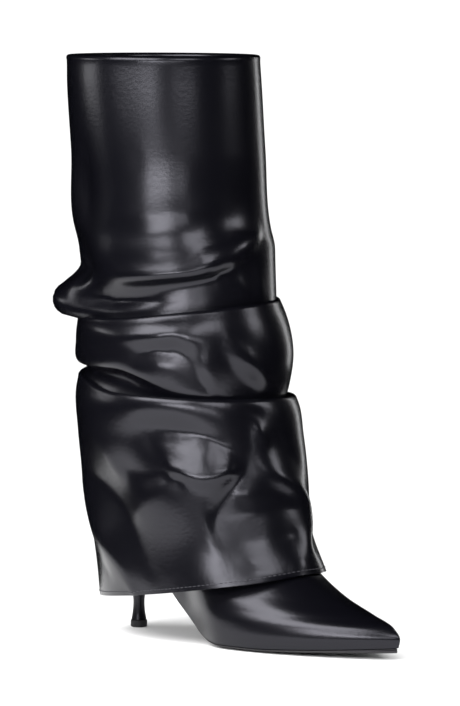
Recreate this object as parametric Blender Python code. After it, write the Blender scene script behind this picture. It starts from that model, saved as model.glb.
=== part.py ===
"""A slouch boot for the right foot: pointed toe, slim heel, and a wide sleeve folded over the collar.

Metres, +Z up, toe towards +X, outer side towards -Y. The origin is on the floor under the middle of
the heel tip. Lengths along the foot are measured from the back of the heel seat in the tables, and
the empty that carries every piece moves them to the origin.
"""

import bmesh
import bpy
import math
import numpy as np

# Foot and sole
FOOT_LENGTH = 0.246
BALL_WIDTH = 0.0765
HEEL_SEAT_WIDTH = 0.054
HEEL_HEIGHT = 0.061
TOE_SPRING = 0.0048
OUTSOLE_THICKNESS = 0.0027
OUTSOLE_EDGE_LIFT = 0.0017
OUTSOLE_MARGIN = 0.0006
TOE_TWIST = 0.0030
HEEL_BREAST = 0.047

# Heel tip
HEEL_TIP_DIAMETER = 0.0100
HEEL_TIP_THICKNESS = 0.0045
HEEL_TIP_SETBACK = 0.021
HEEL_TIP_REVEAL = 0.0004
HEEL_TIP_BEVEL = 0.0007
HEEL_STEM_DIAMETER = 0.0076

# Upper
ANKLE_RISE = 0.093
UPPER_WALL = 0.0016
LASTING_MARGIN = 0.011
COLLAR_HEIGHT = 0.3535
COLLAR_LENGTH = 0.1250
COLLAR_WIDTH = 0.1060
COLLAR_CENTRE = 0.0438
COLLAR_LEAN = 0.065

# Insole
INSOLE_THICKNESS = 0.0020
INSOLE_EASE = 0.0010

# Sleeve that folds over the collar
COVER_WALL = 0.0015
RIM_DEPTH = 0.002
RIM_SHOULDER = 0.6
FACING_DEPTH = 0.028
COLLAR_STRAIGHT = 0.004
HEM_CLEARANCE = 0.0010
BACK_SEAM = 126.0
FRONT_SEAM = 63.0

# Seats
GAP = 0.0003

# How finely the walls are divided
COLUMNS = 40
HEEL_COLUMNS = 20
ROWS_PER_FOOT_RING = 2
HEEL_ROWS = (1, 1, 1, 2, 2, 2, 2, 2)
SMOOTH_DEGREES = 40.0
TINY = 1e-9

# Underside of the boot from heel to toe: share of the foot's length, share of the heel height
SOLE_PROFILE = (
    # length, height
    (0.000, 1.000),
    (0.080, 0.972),
    (0.170, 0.893),
    (0.235, 0.745),
    (0.290, 0.545),
    (0.345, 0.325),
    (0.400, 0.160),
    (0.450, 0.062),
    (0.500, 0.013),
    (0.540, 0.000),
    (0.660, 0.000),
)
TREAD_START = SOLE_PROFILE[-2][0]
TREAD_END = SOLE_PROFILE[-1][0]

SPRING_CURVE = 1.25

# Half widths of the sole's outline ahead of the heel seat
SOLE_OUTLINE = (
    # share of the length, outer and inner half width as shares of the ball width
    (0.36, 0.325, 0.275),
    (0.55, 0.490, 0.440),
    (0.66, 0.500, 0.500),
    (1.00, 0.500, 0.500),
)
HEEL_ROUND = 0.12
TOE_START = {-1: 0.54, 1: 0.62}
TOE_CURVE = {-1: 1.80, 1: 1.70}
TOE_POINT = 0.86
TOE_INSET = 2.2
TWIST_CURVE = 1.5
OVAL_FULLNESS = 0.9
NARROW_END = 0.010
LEAST_HALF_WIDTH = 0.0004

# Places across the sole, as shares of its half width: the flat tread ends, its edge rounds, and the
# row along the middle of each half of the insole
TREAD_FLAT = 0.62
TREAD_SHOULDER = 0.86
TREAD_CURVE = 1.5
INSOLE_HALFWAY = 0.55
MARGIN_ROWS = (1.0, 0.45)
NEAREST_ROW = 0.004

# Rings of the foot from the featherline to the ankle. back and front are shares of the foot length,
# back_rise and front_rise shares of the ankle rise above the featherline's two ends, width a share of
# the ball width, round how far the ring has left the sole's outline for an oval, follow how much of
# the sole's arch it keeps.
FOOT_RINGS = (
    # back, back_rise, front, front_rise, width, round, follow
    (0.0000, 0.000, 1.0000, 0.000, 1.000, 0.00, 1.00),
    (-0.0040, 0.075, 1.0045, 0.055, 1.040, 0.02, 0.99),
    (-0.0055, 0.170, 0.9850, 0.112, 1.045, 0.06, 0.96),
    (-0.0050, 0.300, 0.9290, 0.162, 1.005, 0.14, 0.88),
    (-0.0020, 0.430, 0.8450, 0.222, 0.950, 0.26, 0.74),
    (0.0040, 0.560, 0.7560, 0.320, 0.895, 0.42, 0.56),
    (0.0130, 0.700, 0.6650, 0.465, 0.850, 0.60, 0.38),
    (0.0240, 0.850, 0.5780, 0.665, 0.830, 0.80, 0.20),
    (0.0310, 1.000, 0.5020, 0.940, 0.850, 1.00, 0.08),
)

# Rings of the inner shaft up to the straight collar: share of the way up from the ankle at the back and
# the front, share of the way from the ankle's reach to the collar's at the back, the front and the sides
SHAFT_RINGS = (
    # back_up, front_up, back, front, side
    (0.14, 0.17, 0.11, 0.98, 0.12),
    (0.36, 0.35, 0.37, 1.38, 0.34),
    (0.62, 0.59, 0.63, 1.22, 0.60),
    (0.84, 0.84, 0.84, 1.05, 0.85),
    (1.00, 1.00, 1.00, 1.00, 1.00),
)

# Heel block under the seat: share of the heel height, back and front as shares of the breast line,
# half width as a share of the heel seat width
HEEL_SECTIONS = (
    # height, back, front, half_width
    (0.92, 0.030, 0.960, 0.420),
    (0.82, 0.065, 0.830, 0.345),
    (0.70, 0.125, 0.720, 0.250),
    (0.56, 0.205, 0.640, 0.175),
    (0.42, 0.280, 0.580, 0.115),
)

# Straight stem of the heel: share of the heel height, half width as a share of the stem's diameter
STEM_SECTIONS = (
    # height, half_width
    (0.26, 0.500),
    (0.07, 0.515),
)
HEEL_SLANT = 0.22
HEEL_SLANT_FADE = 3
BREAST_FULLNESS = 0.8
SEAT_FULLNESS = 0.75

# Directions in which the sleeve's heights are given, in degrees from the toe, outer side negative
DIRECTIONS = (-180.0, -137.0, -90.0, -45.0, 0.0, 90.0)
BACK, OUTER, FRONT = 0, 2, 4

# The sleeve hangs straight from the collar to the hem, and each station says how it departs from that:
# front, back and side are how far it stands out, as shares of the collar width, the six heights are
# shares of the collar height in the order of DIRECTIONS, and steps is the number of rows up to the
# next station. From COLLAR_HOLD upwards the sleeve follows the collar alone.
COLLAR_HOLD = 0.9
COVER_STATIONS = (
    # name, front, back, side, back, outer_back, outer, outer_front, front, inner, steps
    ("panel_top", 0.002, 0.004, 0.003, 0.960, 0.960, 0.960, 0.960, 0.960, 0.960, 2),
    ("panel_high", -0.040, 0.016, 0.004, 0.840, 0.840, 0.840, 0.840, 0.840, 0.840, 3),
    ("panel_low", -0.118, 0.030, 0.004, 0.710, 0.710, 0.708, 0.706, 0.706, 0.708, 2),
    ("swell", -0.106, 0.028, 0.012, 0.660, 0.662, 0.655, 0.664, 0.688, 0.660, 1),
    ("waist", -0.117, 0.026, 0.004, 0.636, 0.636, 0.634, 0.643, 0.665, 0.640, 1),
    ("hollow", -0.128, 0.030, -0.004, 0.606, 0.606, 0.610, 0.620, 0.640, 0.618, 2),
    ("hollow_low", -0.157, 0.032, -0.012, 0.568, 0.561, 0.570, 0.582, 0.592, 0.590, 1),
    ("tuck_in", -0.188, 0.026, -0.015, 0.552, 0.541, 0.535, 0.545, 0.550, 0.560, 1),
    ("pocket", -0.186, 0.033, -0.009, 0.545, 0.533, 0.523, 0.533, 0.538, 0.550, 1),
    ("tuck_out", -0.166, 0.040, 0.004, 0.551, 0.539, 0.533, 0.543, 0.548, 0.558, 1),
    ("under_crest", -0.142, 0.043, 0.008, 0.564, 0.546, 0.548, 0.562, 0.573, 0.578, 1),
    ("crest", -0.127, 0.049, 0.018, 0.571, 0.553, 0.555, 0.569, 0.580, 0.585, 1),
    ("band_top", -0.121, 0.050, 0.029, 0.564, 0.546, 0.548, 0.562, 0.573, 0.578, 2),
    ("band", -0.141, 0.072, 0.048, 0.520, 0.510, 0.512, 0.496, 0.490, 0.505, 2),
    ("lip", -0.203, 0.070, 0.035, 0.482, 0.474, 0.473, 0.436, 0.428, 0.448, 1),
    ("lip_under", -0.220, 0.037, -0.013, 0.476, 0.468, 0.464, 0.412, 0.404, 0.428, 1),
    ("second_tuck", -0.220, 0.030, -0.013, 0.466, 0.457, 0.420, 0.392, 0.385, 0.408, 1),
    ("second_out", -0.200, 0.040, 0.015, 0.462, 0.452, 0.408, 0.394, 0.388, 0.406, 1),
    ("second_under", -0.173, 0.050, 0.031, 0.461, 0.452, 0.420, 0.415, 0.412, 0.411, 1),
    ("second_crest", -0.155, 0.063, 0.043, 0.458, 0.452, 0.428, 0.423, 0.420, 0.417, 1),
    ("skirt_top", -0.145, 0.077, 0.053, 0.448, 0.441, 0.420, 0.415, 0.412, 0.409, 2),
    ("skirt_high", -0.125, 0.103, 0.049, 0.360, 0.355, 0.350, 0.350, 0.350, 0.350, 2),
    ("skirt", -0.114, 0.104, 0.030, 0.262, 0.262, 0.265, 0.265, 0.265, 0.262, 2),
    ("skirt_low", -0.072, 0.080, 0.005, 0.155, 0.160, 0.168, 0.180, 0.195, 0.175, 2),
)

# The hem: its reach along the foot as shares of the foot length, its half width as a share of the
# collar width, and its heights as shares of the collar height; in front it clears the vamp's ridge
HEM_FRONT = 0.7080
HEM_BACK = 0.0230
HEM_SIDE = 0.515
HEM_HEIGHTS = (0.0600, 0.0670, 0.0870, 0.1120, None, 0.1050)

# Soft swellings and dents of the sleeve: direction in degrees, height and spread as shares of the
# collar height, spread in degrees, depth outwards as a share of the collar width, and the stations
# from and to which it reaches
COVER_DENTS = (
    # name, direction, height, angle_spread, height_spread, depth, first, last
    ("ear", -141.0, 0.578, 27.0, 0.040, 0.158, "waist", "hollow_low"),
    ("back of the panel", -140.0, 0.700, 24.0, 0.020, 0.014, "panel_high", "swell"),
    ("pinch", -128.0, 0.644, 16.0, 0.026, -0.052, "swell", "waist"),
    ("hollow above the crest", -95.0, 0.585, 38.0, 0.030, -0.022, "swell", "hollow_low"),
    ("swell under the toe side", -30.0, 0.668, 45.0, 0.022, 0.018, "panel_low", "hollow"),
    ("inner front of the crest", 32.0, 0.570, 30.0, 0.030, -0.022, "under_crest", "band_top"),
    ("belly of the band", 10.0, 0.487, 45.0, 0.040, 0.020, "band_top", "lip"),
    ("heel valley", -141.0, 0.180, 17.0, 0.080, -0.040, "skirt_high", "hem"),
    ("inner front of the hem", 42.0, 0.130, 26.0, 0.110, -0.034, "skirt", "hem"),
    ("knee of the skirt", -63.0, 0.345, 18.0, 0.045, -0.030, "skirt_top", "skirt"),
    ("shin hollow", -42.0, 0.235, 16.0, 0.060, -0.034, "skirt_high", "skirt_low"),
    ("outer hollow", -104.0, 0.270, 20.0, 0.060, -0.030, "skirt_high", "skirt_low"),
)


def smooth(xs, ys, x):
    """A smooth curve through the rows of a table that never swings past them."""
    xs, ys, x = np.asarray(xs, float), np.asarray(ys, float), np.asarray(x, float)
    steps = np.diff(xs)
    slopes = np.diff(ys) / steps
    tangents = np.zeros(len(xs))
    for i in range(1, len(xs) - 1):
        if slopes[i - 1] * slopes[i] > 0:
            early, late = 2 * steps[i] + steps[i - 1], steps[i] + 2 * steps[i - 1]
            tangents[i] = (early + late) / (early / slopes[i - 1] + late / slopes[i])
    tangents[0], tangents[-1] = slopes[0], slopes[-1]
    k = np.clip(np.searchsorted(xs, x, side="right") - 1, 0, len(xs) - 2)
    t = np.clip((x - xs[k]) / steps[k], 0.0, 1.0)
    rise = steps[k] * (t * (1 - t) ** 2 * tangents[k] + t * t * (t - 1) * tangents[k + 1])
    return ys[k] * (1 + 2 * t) * (1 - t) ** 2 + ys[k + 1] * t * t * (3 - 2 * t) + rise


def sole_stations():
    """Shares of the foot's length at which the upper's columns meet the sole."""
    return (1.0 - np.cos(np.linspace(0.0, math.pi, COLUMNS // 2 + 1))) / 2


def around(values, degrees):
    """Values given in DIRECTIONS, read smoothly all the way round."""
    knots = np.array(DIRECTIONS)
    values = np.array(values, float)
    knots = np.concatenate([knots - 360.0, knots, knots + 360.0])
    return smooth(knots, np.tile(values, 3), degrees)


def sole_height(share):
    """Height of the outsole's flat underside above the floor, straight between the upper's columns."""
    stations = sole_stations()
    shares, heights = zip(*SOLE_PROFILE)
    arch = HEEL_HEIGHT * smooth(shares, heights, np.clip(stations, 0.0, TREAD_END))
    spring = np.clip((stations - TREAD_END) / (1.0 - TREAD_END), 0.0, 1.0)
    return np.interp(share, stations, arch + TOE_SPRING * spring**SPRING_CURVE)


def featherline(share):
    """Height of the edge where the upper turns under, a seat above the outsole."""
    return sole_height(share) + OUTSOLE_THICKNESS + GAP


def outline(share, side):
    """Half width of the sole's outline on the outer side (-1) or the inner side (+1)."""
    share = np.clip(np.asarray(share, float), 0.0, 1.0)
    shares, outer, inner = zip(*SOLE_OUTLINE)
    seat = HEEL_SEAT_WIDTH / 2
    widths = np.concatenate([[seat, seat], BALL_WIDTH * np.array(outer if side < 0 else inner)])
    width = smooth((0.0, HEEL_ROUND) + shares, widths, share)
    heel = np.clip(1.0 - share / HEEL_ROUND, 0.0, 1.0)
    toe = np.clip((share - TOE_START[side]) / (1.0 - TOE_START[side]), 0.0, 1.0)
    return width * np.sqrt(1.0 - heel**2) * (1.0 - toe ** TOE_CURVE[side]) ** TOE_POINT


def inset_outline(share, side, inset):
    """Half width of the outline drawn in by inset all round, further at the pointed toe."""
    first = inset / FOOT_LENGTH
    last = 1.0 - TOE_INSET * inset / FOOT_LENGTH
    half = float(outline((share - first) / (last - first), side))
    return max(half - inset * min(1.0, half / NARROW_END), LEAST_HALF_WIDTH)


def centre_line(share):
    """Sideways place of the sole's middle: the toe turns a little inwards."""
    toe = np.clip((np.asarray(share, float) - TREAD_START) / (1.0 - TREAD_START), 0.0, 1.0)
    return TOE_TWIST * toe**TWIST_CURVE


def foot_ring(row, angles):
    """One ring of the foot as points, the toe at angle 0 and the inner side at a quarter turn."""
    back, back_rise, front, front_rise, width, roundness, follow = row
    along = (1.0 + np.cos(angles)) / 2
    share = back + (front - back) * along
    side = np.where(np.sin(angles) < 0, -1.0, 1.0)
    pointed = np.where(side < 0, outline(along, -1), outline(along, 1))
    pointed[np.abs(np.sin(angles)) < TINY] = 0.0
    oval = BALL_WIDTH / 2 * np.abs(np.sin(angles)) ** OVAL_FULLNESS
    half = width * ((1.0 - roundness) * pointed + roundness * oval)
    ends = featherline(max(back, 0.0)), featherline(min(front, 1.0))
    chord = ends[0] + (ends[1] - ends[0]) * along
    rise = ANKLE_RISE * (back_rise + (front_rise - back_rise) * along)
    toe_end = featherline(1.0) - ends[1]
    height = chord + rise + toe_end * along + follow * (featherline(share) - chord)
    return np.stack([share * FOOT_LENGTH, centre_line(share) + side * half, height], 1)


def shaft_ring(row, ankle, collar):
    """One ring between the ankle's ring and the collar's ring."""
    back_up, front_up, back, front, side = row
    front_side = (1.0 + np.cos(np.linspace(0, 2 * math.pi, len(ankle), endpoint=False))) / 2
    up = back_up + (front_up - back_up) * front_side
    reach = back + (front - back) * front_side
    ring = np.empty_like(ankle)
    ring[:, 0] = ankle[:, 0] + (collar[:, 0] - ankle[:, 0]) * reach
    ring[:, 1] = ankle[:, 1] + (collar[:, 1] - ankle[:, 1]) * side
    ring[:, 2] = ankle[:, 2] + (collar[:, 2] - ankle[:, 2]) * up
    return ring


def collar_ring(angles, inset, below):
    """The collar's oval, drawn in by inset, some way below its edge; the shaft leans forward there."""
    x = COLLAR_CENTRE + COLLAR_LEAN * below + (COLLAR_LENGTH / 2 - inset) * np.cos(angles)
    y = (COLLAR_WIDTH / 2 - inset) * np.sin(angles)
    return np.stack([x, y, np.full_like(x, COLLAR_HEIGHT - below)], 1)


def between(rings, steps):
    """Rings with more rings between them, on curves that pass through the given ones."""
    rings = [np.asarray(ring) for ring in rings]
    grown = []
    for i, count in enumerate(steps):
        first, last = rings[i], rings[i + 1]
        before = rings[i - 1] if i else 2 * first - last
        after = rings[i + 2] if i + 2 < len(rings) else 2 * last - first
        chord = np.linalg.norm(last - first, axis=1, keepdims=True) + TINY
        ahead = np.linalg.norm(after - last, axis=1, keepdims=True) + TINY
        behind = np.linalg.norm(first - before, axis=1, keepdims=True) + TINY
        start = ((last - first) * behind / chord + (first - before) * chord / behind) / (chord + behind)
        end = ((after - last) * chord / ahead + (last - first) * ahead / chord) / (chord + ahead)
        for step in range(count):
            t = step / count
            rise = chord * (t * (1 - t) ** 2 * start + t * t * (t - 1) * end)
            grown.append(first * (1 + 2 * t) * (1 - t) ** 2 + last * t * t * (3 - 2 * t) + rise)
    grown.append(rings[-1])
    return np.array(grown)


def outward(grid):
    """Unit normals of a grid of rings, pointing away from the rings' inside."""
    along = np.gradient(grid, axis=0)
    round_ring = np.roll(grid, -1, axis=1) - np.roll(grid, 1, axis=1)
    normal = np.cross(round_ring, along)
    return normal / (np.linalg.norm(normal, axis=2, keepdims=True) + TINY)


def mesh_object(name, points, faces, material, parent):
    """An object from points and faces, its faces turned outwards."""
    mesh = bpy.data.meshes.new(name)
    mesh.from_pydata([tuple(map(float, p)) for p in points], [], faces)
    body = bmesh.new()
    body.from_mesh(mesh)
    bmesh.ops.recalc_face_normals(body, faces=body.faces)
    body.to_mesh(mesh)
    body.free()
    mesh.shade_smooth()
    mesh.set_sharp_from_angle(angle=math.radians(SMOOTH_DEGREES))
    mesh.materials.append(material)
    item = bpy.data.objects.new(name, mesh)
    bpy.context.scene.collection.objects.link(item)
    item.parent = parent
    return item


def leather(name, colour, roughness):
    """A plain finish with one colour."""
    material = bpy.data.materials.new(name)
    material.use_nodes = True
    shader = material.node_tree.nodes["Principled BSDF"]
    shader.inputs["Base Color"].default_value = (*colour, 1.0)
    shader.inputs["Roughness"].default_value = roughness
    shader.inputs["Metallic"].default_value = 0.0
    return material


def closed_shell(outer, inner):
    """Faces of a wall between two grids of rings of the same size, joined at both ends."""
    rows, columns = outer.shape[:2]
    points = np.concatenate([outer.reshape(-1, 3), inner.reshape(-1, 3)])
    shift = rows * columns
    faces = []
    for column in range(columns):
        right = (column + 1) % columns
        for row in range(rows - 1):
            a, b = row * columns + column, row * columns + right
            c, d = a + columns, b + columns
            faces.append((a, b, d, c))
            faces.append((shift + a, shift + c, shift + d, shift + b))
        last = (rows - 1) * columns
        faces.append((column, shift + column, shift + right, right))
        faces.append((last + column, last + right, shift + last + right, shift + last + column))
    return points, faces


def panel(grid, first, last, along):
    """The columns of a closed grid from one seam to the next, drawn back from both by half the gap."""
    columns = [column % grid.shape[1] for column in range(first, last + 1)]
    strip = grid[:, columns].copy()
    strip[:, 0] += along[:, columns[0]] * GAP / 2
    strip[:, -1] -= along[:, columns[-1]] * GAP / 2
    return strip


def panel_shell(outer, inner):
    """Faces of a wall between two open grids of the same size, joined along all four edges."""
    rows, columns = outer.shape[:2]
    points = np.concatenate([outer.reshape(-1, 3), inner.reshape(-1, 3)])
    shift = rows * columns
    faces = []
    for column in range(columns - 1):
        for row in range(rows - 1):
            a = row * columns + column
            b, c, d = a + 1, a + columns, a + columns + 1
            faces.append((a, b, d, c))
            faces.append((shift + a, shift + c, shift + d, shift + b))
        last = (rows - 1) * columns
        faces.append((column, shift + column, shift + column + 1, column + 1))
        faces.append((last + column, last + column + 1, shift + last + column + 1, shift + last + column))
    for row in range(rows - 1):
        for column in (0, columns - 1):
            a = row * columns + column
            b = a + columns
            faces.append((a, b, shift + b, shift + a))
    return points, faces


def upper_rings(angles):
    """The upper's outer face from the featherline to the collar."""
    foot = [foot_ring(row, angles) for row in FOOT_RINGS]
    straight = collar_ring(angles, 0.0, FACING_DEPTH + COLLAR_STRAIGHT)
    shaft = [shaft_ring(row, foot[-1], straight) for row in SHAFT_RINGS]
    steps = [1] + [ROWS_PER_FOOT_RING] * (len(FOOT_RINGS) - 2) + [1] * (len(SHAFT_RINGS) + 1)
    return between(foot + shaft + [collar_ring(angles, 0.0, 0.0)], steps)


def ridge_height(reach):
    """Height of the vamp's ridge at a distance from the heel."""
    fronts = [foot_ring(row, np.array([0.0]))[0] for row in FOOT_RINGS]
    fronts.sort(key=lambda point: point[0])
    return float(smooth([p[0] for p in fronts], [p[2] for p in fronts], reach))


def build_upper(material, parent):
    """Pointed foot, ankle and inner shaft in one wall, with its edge turned in under the foot."""
    angles = np.linspace(0.0, 2 * math.pi, COLUMNS, endpoint=False)
    outer = upper_rings(angles)
    normal = outward(outer)
    normal[0, :, 2] = 0.0
    normal[0] /= np.linalg.norm(normal[0], axis=1, keepdims=True)
    normal[-1, :, 2] = 0.0
    normal[-1] /= np.linalg.norm(normal[-1], axis=1, keepdims=True)
    inner = outer - normal * UPPER_WALL
    inner[0, :, 2] = featherline(inner[0, :, 0] / FOOT_LENGTH) + UPPER_WALL
    turned_outer, turned_inner = [], []
    for share in MARGIN_ROWS:
        edge = turned_in(outer[0], share * LASTING_MARGIN)
        turned_outer.append(edge)
        turned_inner.append(edge + np.array([0.0, 0.0, UPPER_WALL]))
    outer = np.concatenate([np.array(turned_outer), outer])
    inner = np.concatenate([np.array(turned_inner), inner])
    points, faces = closed_shell(outer, inner)
    return mesh_object("upper", points, faces, material, parent)


def turned_in(edge, distance):
    """The featherline moved towards the middle of the sole, along the sole's own height."""
    share = edge[:, 0] / FOOT_LENGTH
    middle = centre_line(share)
    half = np.abs(edge[:, 1] - middle)
    moved_share = np.clip(share, distance / FOOT_LENGTH, 1.0 - TOE_INSET * distance / FOOT_LENGTH)
    width = np.where(edge[:, 1] < middle, outline(moved_share, -1), outline(moved_share, 1))
    width = np.where(half < TINY, 0.0, np.maximum(np.minimum(half, width) - distance, 0.0))
    reach = np.minimum(1.0, width / np.maximum(half, TINY))
    side = np.sign(edge[:, 1] - middle)
    y = centre_line(moved_share) + side * np.where(half < TINY, 0.0, half * reach)
    return np.stack([moved_share * FOOT_LENGTH, y, featherline(moved_share)], 1)


def strip_grid(first, last, cross, inset):
    """Places on the sole between two shares of its length, inset from its outline.

    The rows lie where the upper's columns do, so that both follow the same chords along the arch.
    """
    stations = sole_stations()
    inside = stations[(stations > first + NEAREST_ROW) & (stations < last - NEAREST_ROW)]
    shares = [first, *inside, last]
    grid = np.empty((len(shares), len(cross), 2))
    for i, share in enumerate(shares):
        for j, place in enumerate(cross):
            half = inset_outline(share, -1 if place < 0 else 1, inset)
            grid[i, j] = share, float(centre_line(share)) + place * half
    return grid


def slab(name, places, lower, upper, material, parent):
    """A closed slab over a grid of places, with the two heights given as functions."""
    rows, columns = places.shape[:2]
    below, above = [], []
    for i in range(rows):
        for j in range(columns):
            share, y = places[i, j]
            below.append((share * FOOT_LENGTH, y, lower(share, j)))
            above.append((share * FOOT_LENGTH, y, upper(share, j)))
    shift = rows * columns
    faces = []
    for i in range(rows - 1):
        for j in range(columns - 1):
            a, b = i * columns + j, i * columns + j + 1
            faces.append((a, b, b + columns, a + columns))
            faces.append((shift + a, shift + a + columns, shift + b + columns, shift + b))
    rim = [i * columns for i in range(rows)] + [(rows - 1) * columns + j for j in range(1, columns)]
    rim += [i * columns + columns - 1 for i in range(rows - 2, -1, -1)]
    rim += [j for j in range(columns - 2, 0, -1)]
    for k, a in enumerate(rim):
        b = rim[(k + 1) % len(rim)]
        faces.append((a, b, shift + b, shift + a))
    return mesh_object(name, below + above, faces, material, parent)


def build_outsole(material, parent):
    """Thin sole from the heel breast to the toe, its tread flat and its edges lifted."""
    cross = (-1.0, -TREAD_SHOULDER, -TREAD_FLAT, 0.0, TREAD_FLAT, TREAD_SHOULDER, 1.0)
    toe = 1.0 - TOE_INSET * OUTSOLE_MARGIN / FOOT_LENGTH
    places = strip_grid(HEEL_BREAST / FOOT_LENGTH, toe, cross, OUTSOLE_MARGIN)

    def lower(share, j):
        edge = max(abs(cross[j]) - TREAD_FLAT, 0.0) / (1.0 - TREAD_FLAT)
        return float(sole_height(share)) + OUTSOLE_EDGE_LIFT * edge**TREAD_CURVE

    def above(share, j):
        return float(sole_height(share)) + OUTSOLE_THICKNESS

    return slab("outsole", places, lower, above, material, parent)


def build_insole(material, parent):
    """Board and sock on the turned-in edge of the upper, inside its wall."""
    cross = (-1.0, -INSOLE_HALFWAY, 0.0, INSOLE_HALFWAY, 1.0)
    inset = UPPER_WALL + GAP + INSOLE_EASE
    first = inset / FOOT_LENGTH
    places = strip_grid(first, 1.0 - TOE_INSET * first, cross, inset)

    def lower(share, j):
        return float(featherline(share)) + UPPER_WALL + GAP

    def above(share, j):
        return lower(share, j) + INSOLE_THICKNESS

    return slab("insole", places, lower, above, material, parent)


def heel_section(back, front, half_width, height_of):
    """One closed section of the heel, round behind and flatter at the breast."""
    angles = np.linspace(0.0, 2 * math.pi, HEEL_COLUMNS, endpoint=False)
    middle, reach = (back + front) / 2, (front - back) / 2
    x = middle + reach * np.cos(angles)
    flat = np.where(np.cos(angles) > 0, BREAST_FULLNESS, 1.0)
    y = half_width * np.sign(np.sin(angles)) * np.abs(np.sin(angles)) ** flat
    return np.array([(a, b, height_of(a)) for a, b in zip(x, y)])


def build_heel(material, parent):
    """Slim block: cupped to the seat at its top, round at its tip."""
    seat = HEEL_HEIGHT + OUTSOLE_THICKNESS
    foot = HEEL_TIP_THICKNESS + GAP

    def seat_height(x):
        return float(featherline(x / FOOT_LENGTH)) - GAP

    top_half = HEEL_SEAT_WIDTH / 2 - OUTSOLE_MARGIN
    breast = HEEL_BREAST - GAP
    sections = [seat_section(breast, top_half, seat_height)]
    for height, back, front, half_width in HEEL_SECTIONS:
        level = foot + (seat - foot) * height
        lean = (level - foot) / (seat - foot)

        def slanted(x, level=level, lean=lean):
            return level - HEEL_SLANT * lean**HEEL_SLANT_FADE * (x - HEEL_TIP_SETBACK)

        sections.append(
            heel_section(back * breast, front * breast, half_width * HEEL_SEAT_WIDTH, slanted)
        )
    stem = [(height, half * HEEL_STEM_DIAMETER) for height, half in STEM_SECTIONS]
    for height, half in stem + [(0.0, HEEL_TIP_DIAMETER / 2 - HEEL_TIP_REVEAL)]:
        level = foot + (seat - foot) * height
        sections.append(
            heel_section(
                HEEL_TIP_SETBACK - half, HEEL_TIP_SETBACK + half, half, lambda x, level=level: level
            )
        )
    rings = between(sections, HEEL_ROWS)
    points, faces = capped(rings)
    return mesh_object("heel", points, faces, material, parent)


def seat_section(breast, half_width, height_of):
    """The heel's top edge: the seat's own outline, cut straight at the breast."""
    angles = np.linspace(0.0, 2 * math.pi, HEEL_COLUMNS, endpoint=False)
    points = []
    for angle in angles:
        x = breast * (1.0 + math.cos(angle)) / 2 + OUTSOLE_MARGIN * (1.0 - math.cos(angle)) / 2
        side = -1 if math.sin(angle) < 0 else 1
        room = max(float(outline(x / FOOT_LENGTH, side)) - OUTSOLE_MARGIN, 0.0)
        y = side * min(room, half_width * abs(math.sin(angle)) ** SEAT_FULLNESS)
        points.append((x, y if abs(math.sin(angle)) > TINY else 0.0, height_of(x)))
    return np.array(points)


def capped(rings):
    """Faces of a solid between rings, its two ends closed by strips across them."""
    rows, columns = rings.shape[:2]
    faces = []
    for row in range(rows - 1):
        for column in range(columns):
            right = (column + 1) % columns
            a, b = row * columns + column, row * columns + right
            faces.append((a, b, b + columns, a + columns))
    for start in (0, (rows - 1) * columns):
        for k in range(columns // 2):
            a, b = start + k, start + k + 1
            c, d = start + (columns - k - 1) % columns, start + (columns - k) % columns
            ring = [a, b, c, d] if k else [a, b, c]
            if k == columns // 2 - 1:
                ring = [a, b, d]
            faces.append(tuple(ring))
    return rings.reshape(-1, 3), faces


def build_heel_tip(material, parent):
    """Round rubber top piece, flat on the floor."""
    half = HEEL_TIP_DIAMETER / 2
    sections = [
        heel_section(HEEL_TIP_SETBACK - r, HEEL_TIP_SETBACK + r, r, lambda x, z=z: z)
        for z, r in (
            (HEEL_TIP_THICKNESS, half),
            (HEEL_TIP_BEVEL, half),
            (0.0, half - HEEL_TIP_BEVEL),
        )
    ]
    points, faces = capped(np.array(sections))
    return mesh_object("heel_tip", points, faces, material, parent)


def hang(height, hem):
    """How much a sleeve's height, as a share, follows the collar (1) and how much the hem (0)."""
    return np.clip((height - hem) / (COLLAR_HOLD - hem), 0.0, 1.0)


def station_ring(front, back, side, heights, hem, degrees):
    """A ring of the sleeve from its departures from the straight hang and its heights."""
    seat = GAP + COVER_WALL / 2
    front_hang = hang(heights[FRONT], hem[FRONT])
    back_hang = hang(heights[BACK], hem[BACK])
    side_hang = hang(heights[OUTER], hem[OUTER])
    front_drop = COLLAR_HEIGHT * (1.0 - heights[FRONT])
    back_drop = COLLAR_HEIGHT * (1.0 - heights[BACK])
    collar_front = COLLAR_CENTRE + COLLAR_LEAN * front_drop + COLLAR_LENGTH / 2 + seat
    collar_back = COLLAR_CENTRE + COLLAR_LEAN * back_drop - COLLAR_LENGTH / 2 - seat
    collar_side = COLLAR_WIDTH / 2 + seat
    foremost = collar_front * front_hang + HEM_FRONT * FOOT_LENGTH * (1.0 - front_hang)
    foremost += front * COLLAR_WIDTH
    rearmost = collar_back * back_hang + HEM_BACK * FOOT_LENGTH * (1.0 - back_hang)
    rearmost -= back * COLLAR_WIDTH
    half = collar_side * side_hang + HEM_SIDE * COLLAR_WIDTH * (1.0 - side_hang)
    half += side * COLLAR_WIDTH
    turn = np.radians(degrees)
    x = (foremost + rearmost) / 2 + (foremost - rearmost) / 2 * np.cos(turn)
    return np.stack([x, half * np.sin(turn), around(heights, degrees) * COLLAR_HEIGHT], 1)


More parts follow.
